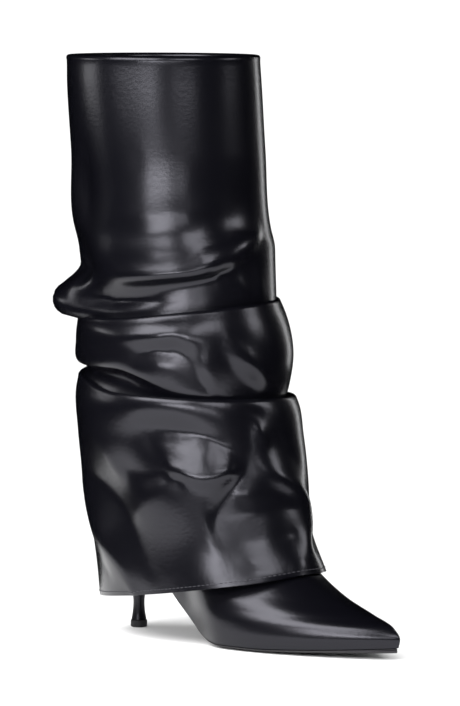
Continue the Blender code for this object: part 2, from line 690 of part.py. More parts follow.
def dented(rings, names, degrees):
    """The stations' rings with the soft swellings and dents added, away from the shaft's axis."""
    turn = np.radians(degrees)
    away = np.stack([np.cos(turn), np.sin(turn), np.zeros_like(turn)], 1)
    for _, direction, height, angle_spread, height_spread, depth, first, last in COVER_DENTS:
        aside = (degrees - direction + 180.0) % 360.0 - 180.0
        near = np.exp(-((aside / angle_spread) ** 2))
        for k in range(names.index(first), names.index(last) + 1):
            level = (rings[k][:, 2] / COLLAR_HEIGHT - height) / height_spread
            push = depth * COLLAR_WIDTH * near * np.exp(-(level**4))
            rings[k] = rings[k] + away * push[:, None]
    return rings


def cover_grid(columns):
    """The middle of the sleeve's wall from the facing's edge to the hem."""
    degrees = np.arange(columns) * 360.0 / columns - 180.0
    turn = np.radians(degrees)
    half_wall = COVER_WALL / 2
    outside = -(GAP + half_wall)
    inside = UPPER_WALL + GAP + half_wall
    rim = [
        collar_ring(turn, inside, FACING_DEPTH),
        collar_ring(turn, inside, RIM_DEPTH),
        collar_ring(turn, inside, -RIM_SHOULDER * (GAP + half_wall)),
        collar_ring(turn, (inside + outside) / 2, -(GAP + half_wall)),
        collar_ring(turn, outside, -RIM_SHOULDER * (GAP + half_wall)),
        collar_ring(turn, outside, RIM_DEPTH),
    ]
    names = ["facing", "facing_top", "rim_in", "rim", "rim_out", "panel_start"]
    steps = [2, 1, 1, 1, 1, 1]
    rings = list(rim)
    clear = (ridge_height(HEM_FRONT * FOOT_LENGTH) + HEM_CLEARANCE + half_wall) / COLLAR_HEIGHT
    hem = [clear if height is None else height for height in HEM_HEIGHTS]
    for name, front, back, side, *heights, count in COVER_STATIONS:
        rings.append(station_ring(front, back, side, heights, hem, degrees))
        names.append(name)
        steps.append(count)
    rings.append(station_ring(0.0, 0.0, 0.0, hem, hem, degrees))
    names.append("hem")
    return between(dented(rings, names, degrees), steps)


def seam_column(degrees):
    """The column of the sleeve's grid where a seam runs."""
    return round((degrees + 180.0) % 360.0 / 360.0 * COLUMNS)


def build_cover(material, parent):
    """The folded sleeve as an outer and an inner panel that meet at the seams."""
    middle = cover_grid(COLUMNS)
    normal = outward(middle)
    outside, inside = middle + normal * COVER_WALL / 2, middle - normal * COVER_WALL / 2
    along = np.roll(middle, -1, axis=1) - np.roll(middle, 1, axis=1)
    along /= np.linalg.norm(along, axis=2, keepdims=True)
    back, front = seam_column(BACK_SEAM), seam_column(FRONT_SEAM)
    for name, first, end in (("shaft_cover_outer", back, front), ("shaft_cover_inner", front, back)):
        last = first + (end - first) % COLUMNS
        outer, inner = panel(outside, first, last, along), panel(inside, first, last, along)
        points, faces = panel_shell(outer, inner)
        mesh_object(name, points, faces, material, parent)


def build():
    """Clear the scene and make the pieces of the boot."""
    for item in list(bpy.data.objects):
        bpy.data.objects.remove(item, do_unlink=True)
    boot = bpy.data.objects.new("boot", None)
    bpy.context.scene.collection.objects.link(boot)
    boot.location.x = -HEEL_TIP_SETBACK
    black = leather("smooth_leather", (0.012, 0.011, 0.014), 0.32)
    rubber = leather("tip_rubber", (0.015, 0.015, 0.015), 0.7)
    resin = leather("sole_resin", (0.018, 0.017, 0.018), 0.5)
    sock = leather("insole_sock", (0.030, 0.027, 0.026), 0.75)
    build_outsole(resin, boot)
    build_heel(black, boot)
    build_heel_tip(rubber, boot)
    build_insole(sock, boot)
    build_upper(black, boot)
    build_cover(black, boot)
    bpy.context.view_layer.update()


build()
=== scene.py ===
# %% [markdown]
# # A slouch boot
# A right boot in smooth black leather: a pointed foot on a slim heel, and a wide soft sleeve that is
# folded over the collar, slouches into two deep folds and falls over the heel and the vamp. The packed
# solids give every size. This lesson lays finer surfaces over them, presses the creases in,
# stitches the hem with Geometry Nodes and gives each material its own finish.

# %% The imported frame
import math

import bpy
import bmesh
import numpy as np
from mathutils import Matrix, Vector


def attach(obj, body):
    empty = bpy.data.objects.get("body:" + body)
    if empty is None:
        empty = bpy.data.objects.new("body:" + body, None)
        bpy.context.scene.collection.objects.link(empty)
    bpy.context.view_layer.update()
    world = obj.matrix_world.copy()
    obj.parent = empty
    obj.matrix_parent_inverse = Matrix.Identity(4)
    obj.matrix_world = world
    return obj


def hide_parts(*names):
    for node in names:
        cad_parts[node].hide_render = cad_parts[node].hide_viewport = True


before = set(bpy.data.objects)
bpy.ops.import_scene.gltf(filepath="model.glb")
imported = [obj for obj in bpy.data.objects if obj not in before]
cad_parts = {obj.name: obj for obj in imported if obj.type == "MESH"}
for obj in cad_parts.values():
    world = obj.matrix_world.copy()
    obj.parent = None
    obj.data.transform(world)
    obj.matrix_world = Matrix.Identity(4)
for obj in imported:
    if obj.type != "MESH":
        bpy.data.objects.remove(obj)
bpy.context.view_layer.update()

scene = bpy.context.scene
print("solids:", sorted(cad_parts))

# %% Two small helpers


def placed(name, data):
    """A new object in the scene."""
    item = bpy.data.objects.new(name, data)
    scene.collection.objects.link(item)
    return item


def filled(node, values):
    """A node with constant values on its sockets."""
    for socket, value in values.items():
        node.inputs[socket].default_value = value
    return node


# %% [markdown]
# ## The camera
# The photograph looks at the outer side from the front, a little above the floor, from far away. A long
# lens keeps the boot's upright lines upright. The aim lies beside the boot's middle, because the
# photograph leaves more white on the right of the shaft, above the toe.

# %% Camera
IMAGE_HEIGHT = 706
SENSOR_MM = 36.0
VIEW_AZIMUTH = math.radians(47.0)
VIEW_ELEVATION = math.radians(4.2)
VIEW_DISTANCE = 3.3
FOCAL_PIXELS = 5410.0
LOOKED_AT = Vector((0.064, 0.0, 0.185))
AIM_RIGHT = 0.0128
AIM_UP = -0.0110
CLIP_END = 20.0

right = Vector((math.cos(VIEW_AZIMUTH), math.sin(VIEW_AZIMUTH), 0.0))
back = Vector((
    math.sin(VIEW_AZIMUTH) * math.cos(VIEW_ELEVATION),
    -math.cos(VIEW_AZIMUTH) * math.cos(VIEW_ELEVATION),
    math.sin(VIEW_ELEVATION),
))
camera = placed("camera", bpy.data.cameras.new("camera"))
camera.location = LOOKED_AT + back * VIEW_DISTANCE
aim = LOOKED_AT + right * AIM_RIGHT + back.cross(right) * AIM_UP
camera.rotation_euler = (aim - camera.location).to_track_quat("-Z", "Y").to_euler()
camera.data.sensor_width = SENSOR_MM
camera.data.lens = FOCAL_PIXELS / IMAGE_HEIGHT * camera.data.sensor_width
camera.data.clip_end = CLIP_END
scene.camera = camera
print("lens", round(camera.data.lens, 1), "mm")

# %% [markdown]
# ## Floor, world and lights
# Black leather is drawn by what it mirrors. The world is white for the camera and dark in the mirror of
# the leather, as a cut-out studio picture is. The pale floor is a small disc set towards the camera, so
# only the lower part of the boot mirrors it. A soft box like a window stands close by, left of the
# camera, with a dimmer glow beside it. A large one hangs above, one hangs in front and one on the right,
# and two thin ones behind the boot draw its right edge and its back.

# %% Stage
FLOOR_RADIUS = 0.42
FLOOR_CENTRE = (0.16, -0.22, 0.0)
FLOOR_SEGMENTS = 96
FLOOR_COLOUR = (0.90, 0.90, 0.90, 1.0)
FLOOR_ROUGHNESS = 0.9
WORLD_COLOUR = (1.0, 1.0, 1.0, 1.0)
WORLD_STRENGTH = 1.12

scene.view_settings.view_transform = "Standard"
world = bpy.data.worlds.new("white")
world.use_nodes = True
filled(world.node_tree.nodes["Background"], {"Color": WORLD_COLOUR, "Strength": WORLD_STRENGTH})
world.cycles_visibility.glossy = False
scene.world = world

disc = bmesh.new()
bmesh.ops.create_circle(disc, cap_ends=True, segments=FLOOR_SEGMENTS, radius=FLOOR_RADIUS)
bmesh.ops.translate(disc, verts=disc.verts, vec=FLOOR_CENTRE)
floor_mesh = bpy.data.meshes.new("floor")
disc.to_mesh(floor_mesh)
disc.free()
floor = placed("floor", floor_mesh)
floor_paint = bpy.data.materials.new("floor_paint")
floor_paint.use_nodes = True
filled(floor_paint.node_tree.nodes["Principled BSDF"], {
    "Base Color": FLOOR_COLOUR,
    "Roughness": FLOOR_ROUGHNESS,
    "Specular IOR Level": 0.0,
})
floor_mesh.materials.append(floor_paint)
print("floor", 2 * FLOOR_RADIUS, "m across")

# %% Soft boxes
SOFT_BOXES = (
    # name, direction and height seen from the boot in degrees, distance, width, height, watts
    ("window", -73.0, 7.0, 0.62, 0.28, 0.12, 1.60),
    ("window_glow", -50.0, 7.0, 0.66, 0.30, 0.12, 0.60),
    ("top", -94.0, 36.0, 0.85, 0.70, 0.42, 9.0),
    ("front_high", -36.0, 34.0, 0.90, 0.40, 0.26, 2.4),
    ("front_right", 34.0, 30.0, 0.90, 0.30, 0.22, 1.2),
    ("right_edge", 98.0, 6.0, 0.90, 0.12, 0.50, 0.65),
    ("left_high", -147.0, 14.0, 0.95, 0.30, 0.14, 0.50),
)
LIT_POINT = Vector((0.06, 0.0, 0.17))


def soft_box(name, azimuth, elevation, distance, width, height, watts):
    """An area light that looks at the middle of the boot."""
    turn, lift = math.radians(azimuth), math.radians(elevation)
    away = Vector((math.cos(turn) * math.cos(lift), math.sin(turn) * math.cos(lift), math.sin(lift)))
    lamp = bpy.data.lights.new(name, "AREA")
    lamp.shape = "RECTANGLE"
    lamp.size = width
    lamp.size_y = height
    lamp.energy = watts
    item = placed(name, lamp)
    item.location = LIT_POINT + away * distance
    item.rotation_euler = away.to_track_quat("Z", "Y").to_euler()


for row in SOFT_BOXES:
    soft_box(*row)
print("lights:", [row[0] for row in SOFT_BOXES])

# %% [markdown]
# ## Sizes
# The solids were made from these sizes, so the finer surfaces are too. Lengths along the foot are
# measured from the back of the heel seat, and the heel tip stands `HEEL_TIP_SETBACK` ahead of it, where
# the frame has its origin. Tables give lengths as shares of the sizes that they follow.

# %% The boot's sizes
FOOT_LENGTH = 0.246
BALL_WIDTH = 0.0765
HEEL_SEAT_WIDTH = 0.054
HEEL_HEIGHT = 0.061
TOE_SPRING = 0.0048
OUTSOLE_THICKNESS = 0.0027
OUTSOLE_EDGE_LIFT = 0.0017
OUTSOLE_MARGIN = 0.0006
TOE_TWIST = 0.0030
HEEL_BREAST = 0.047
HEEL_TIP_DIAMETER = 0.0100
HEEL_TIP_THICKNESS = 0.0045
HEEL_TIP_SETBACK = 0.021
HEEL_TIP_REVEAL = 0.0004
HEEL_TIP_BEVEL = 0.0007
HEEL_STEM_DIAMETER = 0.0076
ANKLE_RISE = 0.093
UPPER_WALL = 0.0016
LASTING_MARGIN = 0.011
COLLAR_HEIGHT = 0.3535
COLLAR_LENGTH = 0.1250
COLLAR_WIDTH = 0.1060
COLLAR_CENTRE = 0.0438
COLLAR_LEAN = 0.065
INSOLE_THICKNESS = 0.0020
INSOLE_EASE = 0.0010
COVER_WALL = 0.0015
RIM_DEPTH = 0.002
RIM_SHOULDER = 0.6
FACING_DEPTH = 0.028
COLLAR_STRAIGHT = 0.004
HEM_CLEARANCE = 0.0010
GAP = 0.0003
TINY = 1e-9
MM = 0.001
print("foot", round(FOOT_LENGTH / MM), "mm long, collar", round(COLLAR_HEIGHT / MM), "mm up")

# %% Tables of sections
SOLE_PROFILE = (
    # share of the foot length, share of the heel height
    (0.000, 1.000),
    (0.080, 0.972),
    (0.170, 0.893),
    (0.235, 0.745),
    (0.290, 0.545),
    (0.345, 0.325),
    (0.400, 0.160),
    (0.450, 0.062),
    (0.500, 0.013),
    (0.540, 0.000),
    (0.660, 0.000),
)
TREAD_START = SOLE_PROFILE[-2][0]
TREAD_END = SOLE_PROFILE[-1][0]
SPRING_CURVE = 1.25
SOLE_OUTLINE = (
    # share of the length, outer and inner half width as shares of the ball width
    (0.36, 0.325, 0.275),
    (0.55, 0.490, 0.440),
    (0.66, 0.500, 0.500),
    (1.00, 0.500, 0.500),
)
HEEL_ROUND = 0.12
TOE_START = {-1: 0.54, 1: 0.62}
TOE_CURVE = {-1: 1.80, 1: 1.70}
TOE_POINT = 0.86
TOE_INSET = 2.2
TWIST_CURVE = 1.5
OVAL_FULLNESS = 0.9
NARROW_END = 0.010
LEAST_HALF_WIDTH = 0.0004
FOOT_RINGS = (
    # back, back_rise, front, front_rise, width, round, follow
    (0.0000, 0.000, 1.0000, 0.000, 1.000, 0.00, 1.00),
    (-0.0040, 0.075, 1.0045, 0.055, 1.040, 0.02, 0.99),
    (-0.0055, 0.170, 0.9850, 0.112, 1.045, 0.06, 0.96),
    (-0.0050, 0.300, 0.9290, 0.162, 1.005, 0.14, 0.88),
    (-0.0020, 0.430, 0.8450, 0.222, 0.950, 0.26, 0.74),
    (0.0040, 0.560, 0.7560, 0.320, 0.895, 0.42, 0.56),
    (0.0130, 0.700, 0.6650, 0.465, 0.850, 0.60, 0.38),
    (0.0240, 0.850, 0.5780, 0.665, 0.830, 0.80, 0.20),
    (0.0310, 1.000, 0.5020, 0.940, 0.850, 1.00, 0.08),
)
SHAFT_RINGS = (
    # back_up, front_up, back, front, side
    (0.14, 0.17, 0.11, 0.98, 0.12),
    (0.36, 0.35, 0.37, 1.38, 0.34),
    (0.62, 0.59, 0.63, 1.22, 0.60),
    (0.84, 0.84, 0.84, 1.05, 0.85),
    (1.00, 1.00, 1.00, 1.00, 1.00),
)
DIRECTIONS = (-180.0, -137.0, -90.0, -45.0, 0.0, 90.0)
BACK, OUTER, FRONT = 0, 2, 4
COLLAR_HOLD = 0.9
COVER_STATIONS = (
    # name, front, back, side, heights: back, outer_back, outer, outer_front, front, inner
    ("panel_top", 0.002, 0.004, 0.003, 0.960, 0.960, 0.960, 0.960, 0.960, 0.960),
    ("panel_high", -0.040, 0.016, 0.004, 0.840, 0.840, 0.840, 0.840, 0.840, 0.840),
    ("panel_low", -0.118, 0.030, 0.004, 0.710, 0.710, 0.708, 0.706, 0.706, 0.708),
    ("swell", -0.106, 0.028, 0.012, 0.660, 0.662, 0.655, 0.664, 0.688, 0.660),
    ("waist", -0.117, 0.026, 0.004, 0.636, 0.636, 0.634, 0.643, 0.665, 0.640),
    ("hollow", -0.128, 0.030, -0.004, 0.606, 0.606, 0.610, 0.620, 0.640, 0.618),
    ("hollow_low", -0.157, 0.032, -0.012, 0.568, 0.561, 0.570, 0.582, 0.592, 0.590),
    ("tuck_in", -0.188, 0.026, -0.015, 0.552, 0.541, 0.535, 0.545, 0.550, 0.560),
    ("pocket", -0.186, 0.033, -0.009, 0.545, 0.533, 0.523, 0.533, 0.538, 0.550),
    ("tuck_out", -0.166, 0.040, 0.004, 0.551, 0.539, 0.533, 0.543, 0.548, 0.558),
    ("under_crest", -0.142, 0.043, 0.008, 0.564, 0.546, 0.548, 0.562, 0.573, 0.578),
    ("crest", -0.127, 0.049, 0.018, 0.571, 0.553, 0.555, 0.569, 0.580, 0.585),
    ("band_top", -0.121, 0.050, 0.029, 0.564, 0.546, 0.548, 0.562, 0.573, 0.578),
    ("band", -0.141, 0.072, 0.048, 0.520, 0.510, 0.512, 0.496, 0.490, 0.505),
    ("lip", -0.203, 0.070, 0.035, 0.482, 0.474, 0.473, 0.436, 0.428, 0.448),
    ("lip_under", -0.220, 0.037, -0.013, 0.476, 0.468, 0.464, 0.412, 0.404, 0.428),
    ("second_tuck", -0.220, 0.030, -0.013, 0.466, 0.457, 0.420, 0.392, 0.385, 0.408),
    ("second_out", -0.200, 0.040, 0.015, 0.462, 0.452, 0.408, 0.394, 0.388, 0.406),
    ("second_under", -0.173, 0.050, 0.031, 0.461, 0.452, 0.420, 0.415, 0.412, 0.411),
    ("second_crest", -0.155, 0.063, 0.043, 0.458, 0.452, 0.428, 0.423, 0.420, 0.417),
    ("skirt_top", -0.145, 0.077, 0.053, 0.448, 0.441, 0.420, 0.415, 0.412, 0.409),
    ("skirt_high", -0.125, 0.103, 0.049, 0.360, 0.355, 0.350, 0.350, 0.350, 0.350),
    ("skirt", -0.114, 0.104, 0.030, 0.262, 0.262, 0.265, 0.265, 0.265, 0.262),
    ("skirt_low", -0.072, 0.080, 0.005, 0.155, 0.160, 0.168, 0.180, 0.195, 0.175),
)
HEM_FRONT = 0.7080
HEM_BACK = 0.0230
HEM_SIDE = 0.515
HEM_HEIGHTS = (0.0600, 0.0670, 0.0870, 0.1120, None, 0.1050)
COVER_DENTS = (
    # name, direction, height, angle_spread, height_spread, depth, first, last
    ("ear", -141.0, 0.578, 27.0, 0.040, 0.158, "waist", "hollow_low"),
    ("back of the panel", -140.0, 0.700, 24.0, 0.020, 0.014, "panel_high", "swell"),
    ("pinch", -128.0, 0.644, 16.0, 0.026, -0.052, "swell", "waist"),
    ("hollow above the crest", -95.0, 0.585, 38.0, 0.030, -0.022, "swell", "hollow_low"),
    ("swell under the toe side", -30.0, 0.668, 45.0, 0.022, 0.018, "panel_low", "hollow"),
    ("inner front of the crest", 32.0, 0.570, 30.0, 0.030, -0.022, "under_crest", "band_top"),
    ("belly of the band", 10.0, 0.487, 45.0, 0.040, 0.020, "band_top", "lip"),
    ("heel valley", -141.0, 0.180, 17.0, 0.080, -0.040, "skirt_high", "hem"),
    ("inner front of the hem", 42.0, 0.130, 26.0, 0.110, -0.034, "skirt", "hem"),
    ("knee of the skirt", -63.0, 0.345, 18.0, 0.045, -0.030, "skirt_top", "skirt"),
    ("shin hollow", -42.0, 0.235, 16.0, 0.060, -0.034, "skirt_high", "skirt_low"),
    ("outer hollow", -104.0, 0.270, 20.0, 0.060, -0.030, "skirt_high", "skirt_low"),
)
print(len(COVER_STATIONS), "stations and", len(COVER_DENTS), "dents in the sleeve")

# %% [markdown]
# ## Curves through tables
# Every surface here is a grid of rings. A smooth curve runs through each table's rows without swinging
# past them, and rings between the named ones lie on curves that pass through those.

# %% A smooth curve through a table


def smooth(xs, ys, x):
    """A smooth curve through the rows of a table that never swings past them."""
    xs, ys, x = np.asarray(xs, float), np.asarray(ys, float), np.asarray(x, float)
    steps = np.diff(xs)
    slopes = np.diff(ys) / steps
    tangents = np.zeros(len(xs))
    for i in range(1, len(xs) - 1):
        if slopes[i - 1] * slopes[i] > 0:
            early, late = 2 * steps[i] + steps[i - 1], steps[i] + 2 * steps[i - 1]
            tangents[i] = (early + late) / (early / slopes[i - 1] + late / slopes[i])
    tangents[0], tangents[-1] = slopes[0], slopes[-1]
    k = np.clip(np.searchsorted(xs, x, side="right") - 1, 0, len(xs) - 2)
    t = np.clip((x - xs[k]) / steps[k], 0.0, 1.0)
    rise = steps[k] * (t * (1 - t) ** 2 * tangents[k] + t * t * (t - 1) * tangents[k + 1])
    return ys[k] * (1 + 2 * t) * (1 - t) ** 2 + ys[k + 1] * t * t * (3 - 2 * t) + rise


def around(values, degrees):
    """Values given in DIRECTIONS, read smoothly all the way round."""
    knots = np.array(DIRECTIONS)
    knots = np.concatenate([knots - 360.0, knots, knots + 360.0])
    return smooth(knots, np.tile(np.array(values, float), 3), degrees)


# %% Rings between rings


def turns(count):
    """Angles once round a ring."""
    return np.linspace(0.0, 2 * math.pi, count, endpoint=False)


def between(rings, steps):
    """Rings with more rings between them, on curves that pass through the given ones."""
    rings = [np.asarray(ring) for ring in rings]
    grown = []
    for i, count in enumerate(steps):
        first, last = rings[i], rings[i + 1]
        before = rings[i - 1] if i else 2 * first - last
        after = rings[i + 2] if i + 2 < len(rings) else 2 * last - first
        chord = np.linalg.norm(last - first, axis=1, keepdims=True) + TINY
        ahead = np.linalg.norm(after - last, axis=1, keepdims=True) + TINY
        behind = np.linalg.norm(first - before, axis=1, keepdims=True) + TINY
        start = ((last - first) * behind / chord + (first - before) * chord / behind) / (chord + behind)
        end = ((after - last) * chord / ahead + (last - first) * ahead / chord) / (chord + ahead)
        for step in range(count):
            t = step / count
            rise = chord * (t * (1 - t) ** 2 * start + t * t * (t - 1) * end)
            grown.append(first * (1 + 2 * t) * (1 - t) ** 2 + last * t * t * (3 - 2 * t) + rise)
    grown.append(rings[-1])
    return np.array(grown)


def outward(grid):
    """Unit normals of a grid of rings: outwards where the rings climb, inwards where they fall."""
    along = np.gradient(grid, axis=0)
    round_ring = np.roll(grid, -1, axis=1) - np.roll(grid, 1, axis=1)
    normal = np.cross(round_ring, along)
    return normal / (np.linalg.norm(normal, axis=2, keepdims=True) + TINY)


# %% Pieces from points and faces
SHARP_DEGREES = 50.0
MERGE_DISTANCE = 1e-6
FRAME_ORIGIN = np.array([HEEL_TIP_SETBACK, 0.0, 0.0])
PIECES = {}


def mesh_piece(name, points, faces, node):
    """A piece at the frame's origin, its place in its mesh, its faces turned outwards."""
    points = np.asarray(points, float) - FRAME_ORIGIN
    mesh = bpy.data.meshes.new(name)
    mesh.from_pydata(points.tolist(), [], faces)
    body = bmesh.new()
    body.from_mesh(mesh)
    bmesh.ops.remove_doubles(body, verts=body.verts, dist=MERGE_DISTANCE)
    bmesh.ops.recalc_face_normals(body, faces=body.faces)
    body.to_mesh(mesh)
    body.free()
    mesh.shade_smooth()
    mesh.set_sharp_from_angle(angle=math.radians(SHARP_DEGREES))
    item = placed(name, mesh)
    PIECES[name] = item
    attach(item, "root")
    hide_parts(node)
    triangles = sum(len(face.vertices) - 2 for face in mesh.polygons)
    print(name, triangles, "triangles")


def wall_faces(rows, columns, closed):
    """Faces of a wall between two grids, joined at their ends and, where they are open, their sides."""
    shift, last = rows * columns, (rows - 1) * columns
    faces = []
    for column in range(columns if closed else columns - 1):
        beside = (column + 1) % columns
        for row in range(rows - 1):
            a, b = row * columns + column, row * columns + beside
            faces.append((a, b, b + columns, a + columns))
            faces.append((shift + a, shift + a + columns, shift + b + columns, shift + b))
        faces.append((column, shift + column, shift + beside, beside))
        faces.append((last + column, last + beside, shift + last + beside, shift + last + column))
    for row in range(0 if closed else rows - 1):
        for column in (0, columns - 1):
            a = row * columns + column
            faces.append((a, a + columns, shift + a + columns, shift + a))
    return faces


def wall_piece(name, outer, inner, closed, node, slot):
    """A piece whose wall lies between two grids of rings."""
    points = np.concatenate([outer.reshape(-1, 3), inner.reshape(-1, 3)])
    mesh_piece(name, points, wall_faces(*outer.shape[:2], closed), node)


def tube_piece(rings, node):
    """A solid piece between closed rings, with a fan over each end."""
    rows, columns = rings.shape[:2]
    faces = []
    for row in range(rows - 1):
        for column in range(columns):
            beside = (column + 1) % columns
            a, b = row * columns + column, row * columns + beside
            faces.append((a, b, b + columns, a + columns))
    faces.append(tuple(range(columns)))
    faces.append(tuple((rows - 1) * columns + k for k in range(columns - 1, -1, -1)))
    mesh_piece("dressed_" + node, rings.reshape(-1, 3), faces, node)


# %% [markdown]
# ## The foot
# The upper is lasted: leather pulled over a pointed last and turned in under the foot. Its rings start
# at the featherline, where it meets the sole, and climb to the ankle and up the hidden inner shaft. The
# same rings as the solid's are read at four times as many places.

# %% Sole heights and outline
UPPER_COLUMNS = 192


def sole_height(share):
    """Height of the outsole's flat underside above the floor."""
    share = np.asarray(share, float)
    shares, heights = zip(*SOLE_PROFILE)
    arch = HEEL_HEIGHT * smooth(shares, heights, np.clip(share, 0.0, TREAD_END))
    spring = np.clip((share - TREAD_END) / (1.0 - TREAD_END), 0.0, 1.0)
    return arch + TOE_SPRING * spring**SPRING_CURVE


def featherline(share):
    """Height of the edge where the upper turns under, a seat above the outsole."""
    return sole_height(share) + OUTSOLE_THICKNESS + GAP


def outline(share, side):
    """Half width of the sole's outline on the outer side (-1) or the inner side (+1)."""
    share = np.clip(np.asarray(share, float), 0.0, 1.0)
    shares, outer, inner = zip(*SOLE_OUTLINE)
    seat = HEEL_SEAT_WIDTH / 2
    widths = np.concatenate([[seat, seat], BALL_WIDTH * np.array(outer if side < 0 else inner)])
    width = smooth((0.0, HEEL_ROUND) + shares, widths, share)
    heel = np.clip(1.0 - share / HEEL_ROUND, 0.0, 1.0)
    toe = np.clip((share - TOE_START[side]) / (1.0 - TOE_START[side]), 0.0, 1.0)
    return width * np.sqrt(1.0 - heel**2) * (1.0 - toe ** TOE_CURVE[side]) ** TOE_POINT


def inset_outline(share, side, inset):
    """Half width of the outline drawn in by inset all round, further at the pointed toe."""
    first = inset / FOOT_LENGTH
    last = 1.0 - TOE_INSET * inset / FOOT_LENGTH
    half = float(outline((share - first) / (last - first), side))
    return max(half - inset * min(1.0, half / NARROW_END), LEAST_HALF_WIDTH)


def centre_line(share):
    """Sideways place of the sole's middle: the toe turns a little inwards."""
    toe = np.clip((np.asarray(share, float) - TREAD_START) / (1.0 - TREAD_START), 0.0, 1.0)
    return TOE_TWIST * toe**TWIST_CURVE


# %% Rings of the foot and the inner shaft


def foot_ring(row, angles):
    """One ring of the foot as points, the toe at angle 0 and the inner side at a quarter turn."""
    back_end, back_rise, front_end, front_rise, width, roundness, follow = row
    along = (1.0 + np.cos(angles)) / 2
    share = back_end + (front_end - back_end) * along
    side = np.where(np.sin(angles) < 0, -1.0, 1.0)
    pointed = np.where(side < 0, outline(along, -1), outline(along, 1))
    pointed[np.abs(np.sin(angles)) < TINY] = 0.0
    oval = BALL_WIDTH / 2 * np.abs(np.sin(angles)) ** OVAL_FULLNESS
    half = width * ((1.0 - roundness) * pointed + roundness * oval)
    ends = featherline(max(back_end, 0.0)), featherline(min(front_end, 1.0))
    chord = ends[0] + (ends[1] - ends[0]) * along
    rise = ANKLE_RISE * (back_rise + (front_rise - back_rise) * along)
    toe_end = featherline(1.0) - ends[1]
    height = chord + rise + toe_end * along + follow * (featherline(share) - chord)
    return np.stack([share * FOOT_LENGTH, centre_line(share) + side * half, height], 1)


def shaft_ring(row, ankle, collar):
    """One ring between the ankle's ring and the collar's ring."""
    back_up, front_up, back_reach, front_reach, side = row
    forward = (1.0 + np.cos(turns(len(ankle)))) / 2
    up = back_up + (front_up - back_up) * forward
    reach = back_reach + (front_reach - back_reach) * forward
    share = np.stack([reach, np.full_like(reach, side), up], 1)
    return ankle + (collar - ankle) * share


def collar_ring(angles, inset, below):
    """The collar's oval, drawn in by inset, some way below its edge; the shaft leans forward there."""
    x = COLLAR_CENTRE + COLLAR_LEAN * below + (COLLAR_LENGTH / 2 - inset) * np.cos(angles)
    y = (COLLAR_WIDTH / 2 - inset) * np.sin(angles)
    return np.stack([x, y, np.full_like(x, COLLAR_HEIGHT - below)], 1)


def turned_in(edge, distance):
    """The featherline moved towards the middle of the sole, along the sole's own height."""
    share = edge[:, 0] / FOOT_LENGTH
    middle = centre_line(share)
    half = np.abs(edge[:, 1] - middle)
    moved = np.clip(share, distance / FOOT_LENGTH, 1.0 - TOE_INSET * distance / FOOT_LENGTH)
    width = np.where(edge[:, 1] < middle, outline(moved, -1), outline(moved, 1))
    width = np.where(half < TINY, 0.0, np.maximum(np.minimum(half, width) - distance, 0.0))
    reach = np.minimum(1.0, width / np.maximum(half, TINY))
    side = np.sign(edge[:, 1] - middle)
    y = centre_line(moved) + side * np.where(half < TINY, 0.0, half * reach)
    return np.stack([moved * FOOT_LENGTH, y, featherline(moved)], 1)


# %% The upper
FOOT_STEPS = [4] + [8] * (len(FOOT_RINGS) - 2) + [6] * len(SHAFT_RINGS) + [3]
MARGIN_SHARES = (1.0, 0.45)


def upper_grid():
    """Outer and inner face of the upper from its turned-in edge to the collar."""
    angles = turns(UPPER_COLUMNS)
    foot = [foot_ring(row, angles) for row in FOOT_RINGS]
    straight = collar_ring(angles, 0.0, FACING_DEPTH + COLLAR_STRAIGHT)
    shaft = [shaft_ring(row, foot[-1], straight) for row in SHAFT_RINGS]
    outer = between(foot + shaft + [collar_ring(angles, 0.0, 0.0)], FOOT_STEPS)
    normal = outward(outer)
    for end in (0, -1):
        normal[end, :, 2] = 0.0
        normal[end] /= np.linalg.norm(normal[end], axis=1, keepdims=True)
    inner = outer - normal * UPPER_WALL
    inner[0, :, 2] = featherline(inner[0, :, 0] / FOOT_LENGTH) + UPPER_WALL
    edges = [turned_in(outer[0], share * LASTING_MARGIN) for share in MARGIN_SHARES]
    lifted = [edge + np.array([0.0, 0.0, UPPER_WALL]) for edge in edges]
    return np.concatenate([edges, outer]), np.concatenate([lifted, inner])


wall_piece("dressed_upper", *upper_grid(), True, "upper", "smooth_leather")

# %% [markdown]
# ## The sleeve
# The sleeve is a wide tube of thin leather that hangs from the collar's rim. Each station of the table
# says how far the leather departs from a straight hang, so the two slouch folds are part of the tube
# itself and no crease has to be cut. The tube is read finely, and then the creases are pressed in.

# %% Rings of the sleeve


def hang(height, hem):
    """How much a sleeve's height, as a share, follows the collar (1) and how much the hem (0)."""
    return np.clip((height - hem) / (COLLAR_HOLD - hem), 0.0, 1.0)


def station_ring(front, rear, side, heights, hem, degrees):
    """A ring of the sleeve from its departures from the straight hang and its heights."""
    seat = GAP + COVER_WALL / 2
    ends = []
    for knot, sign, hem_end, departure in ((FRONT, 1.0, HEM_FRONT, front), (BACK, -1.0, HEM_BACK, rear)):
        hold = hang(heights[knot], hem[knot])
        drop = COLLAR_HEIGHT * (1.0 - heights[knot])
        collar = COLLAR_CENTRE + COLLAR_LEAN * drop + sign * COLLAR_LENGTH / 2 + sign * seat
        straight = collar * hold + hem_end * FOOT_LENGTH * (1.0 - hold)
        ends.append(straight + sign * departure * COLLAR_WIDTH)
    foremost, rearmost = ends
    hold = hang(heights[OUTER], hem[OUTER])
    half = (COLLAR_WIDTH / 2 + seat) * hold + HEM_SIDE * COLLAR_WIDTH * (1.0 - hold)
    half += side * COLLAR_WIDTH
    turn = np.radians(degrees)
    x = (foremost + rearmost) / 2 + (foremost - rearmost) / 2 * np.cos(turn)
    return np.stack([x, half * np.sin(turn), around(heights, degrees) * COLLAR_HEIGHT], 1)


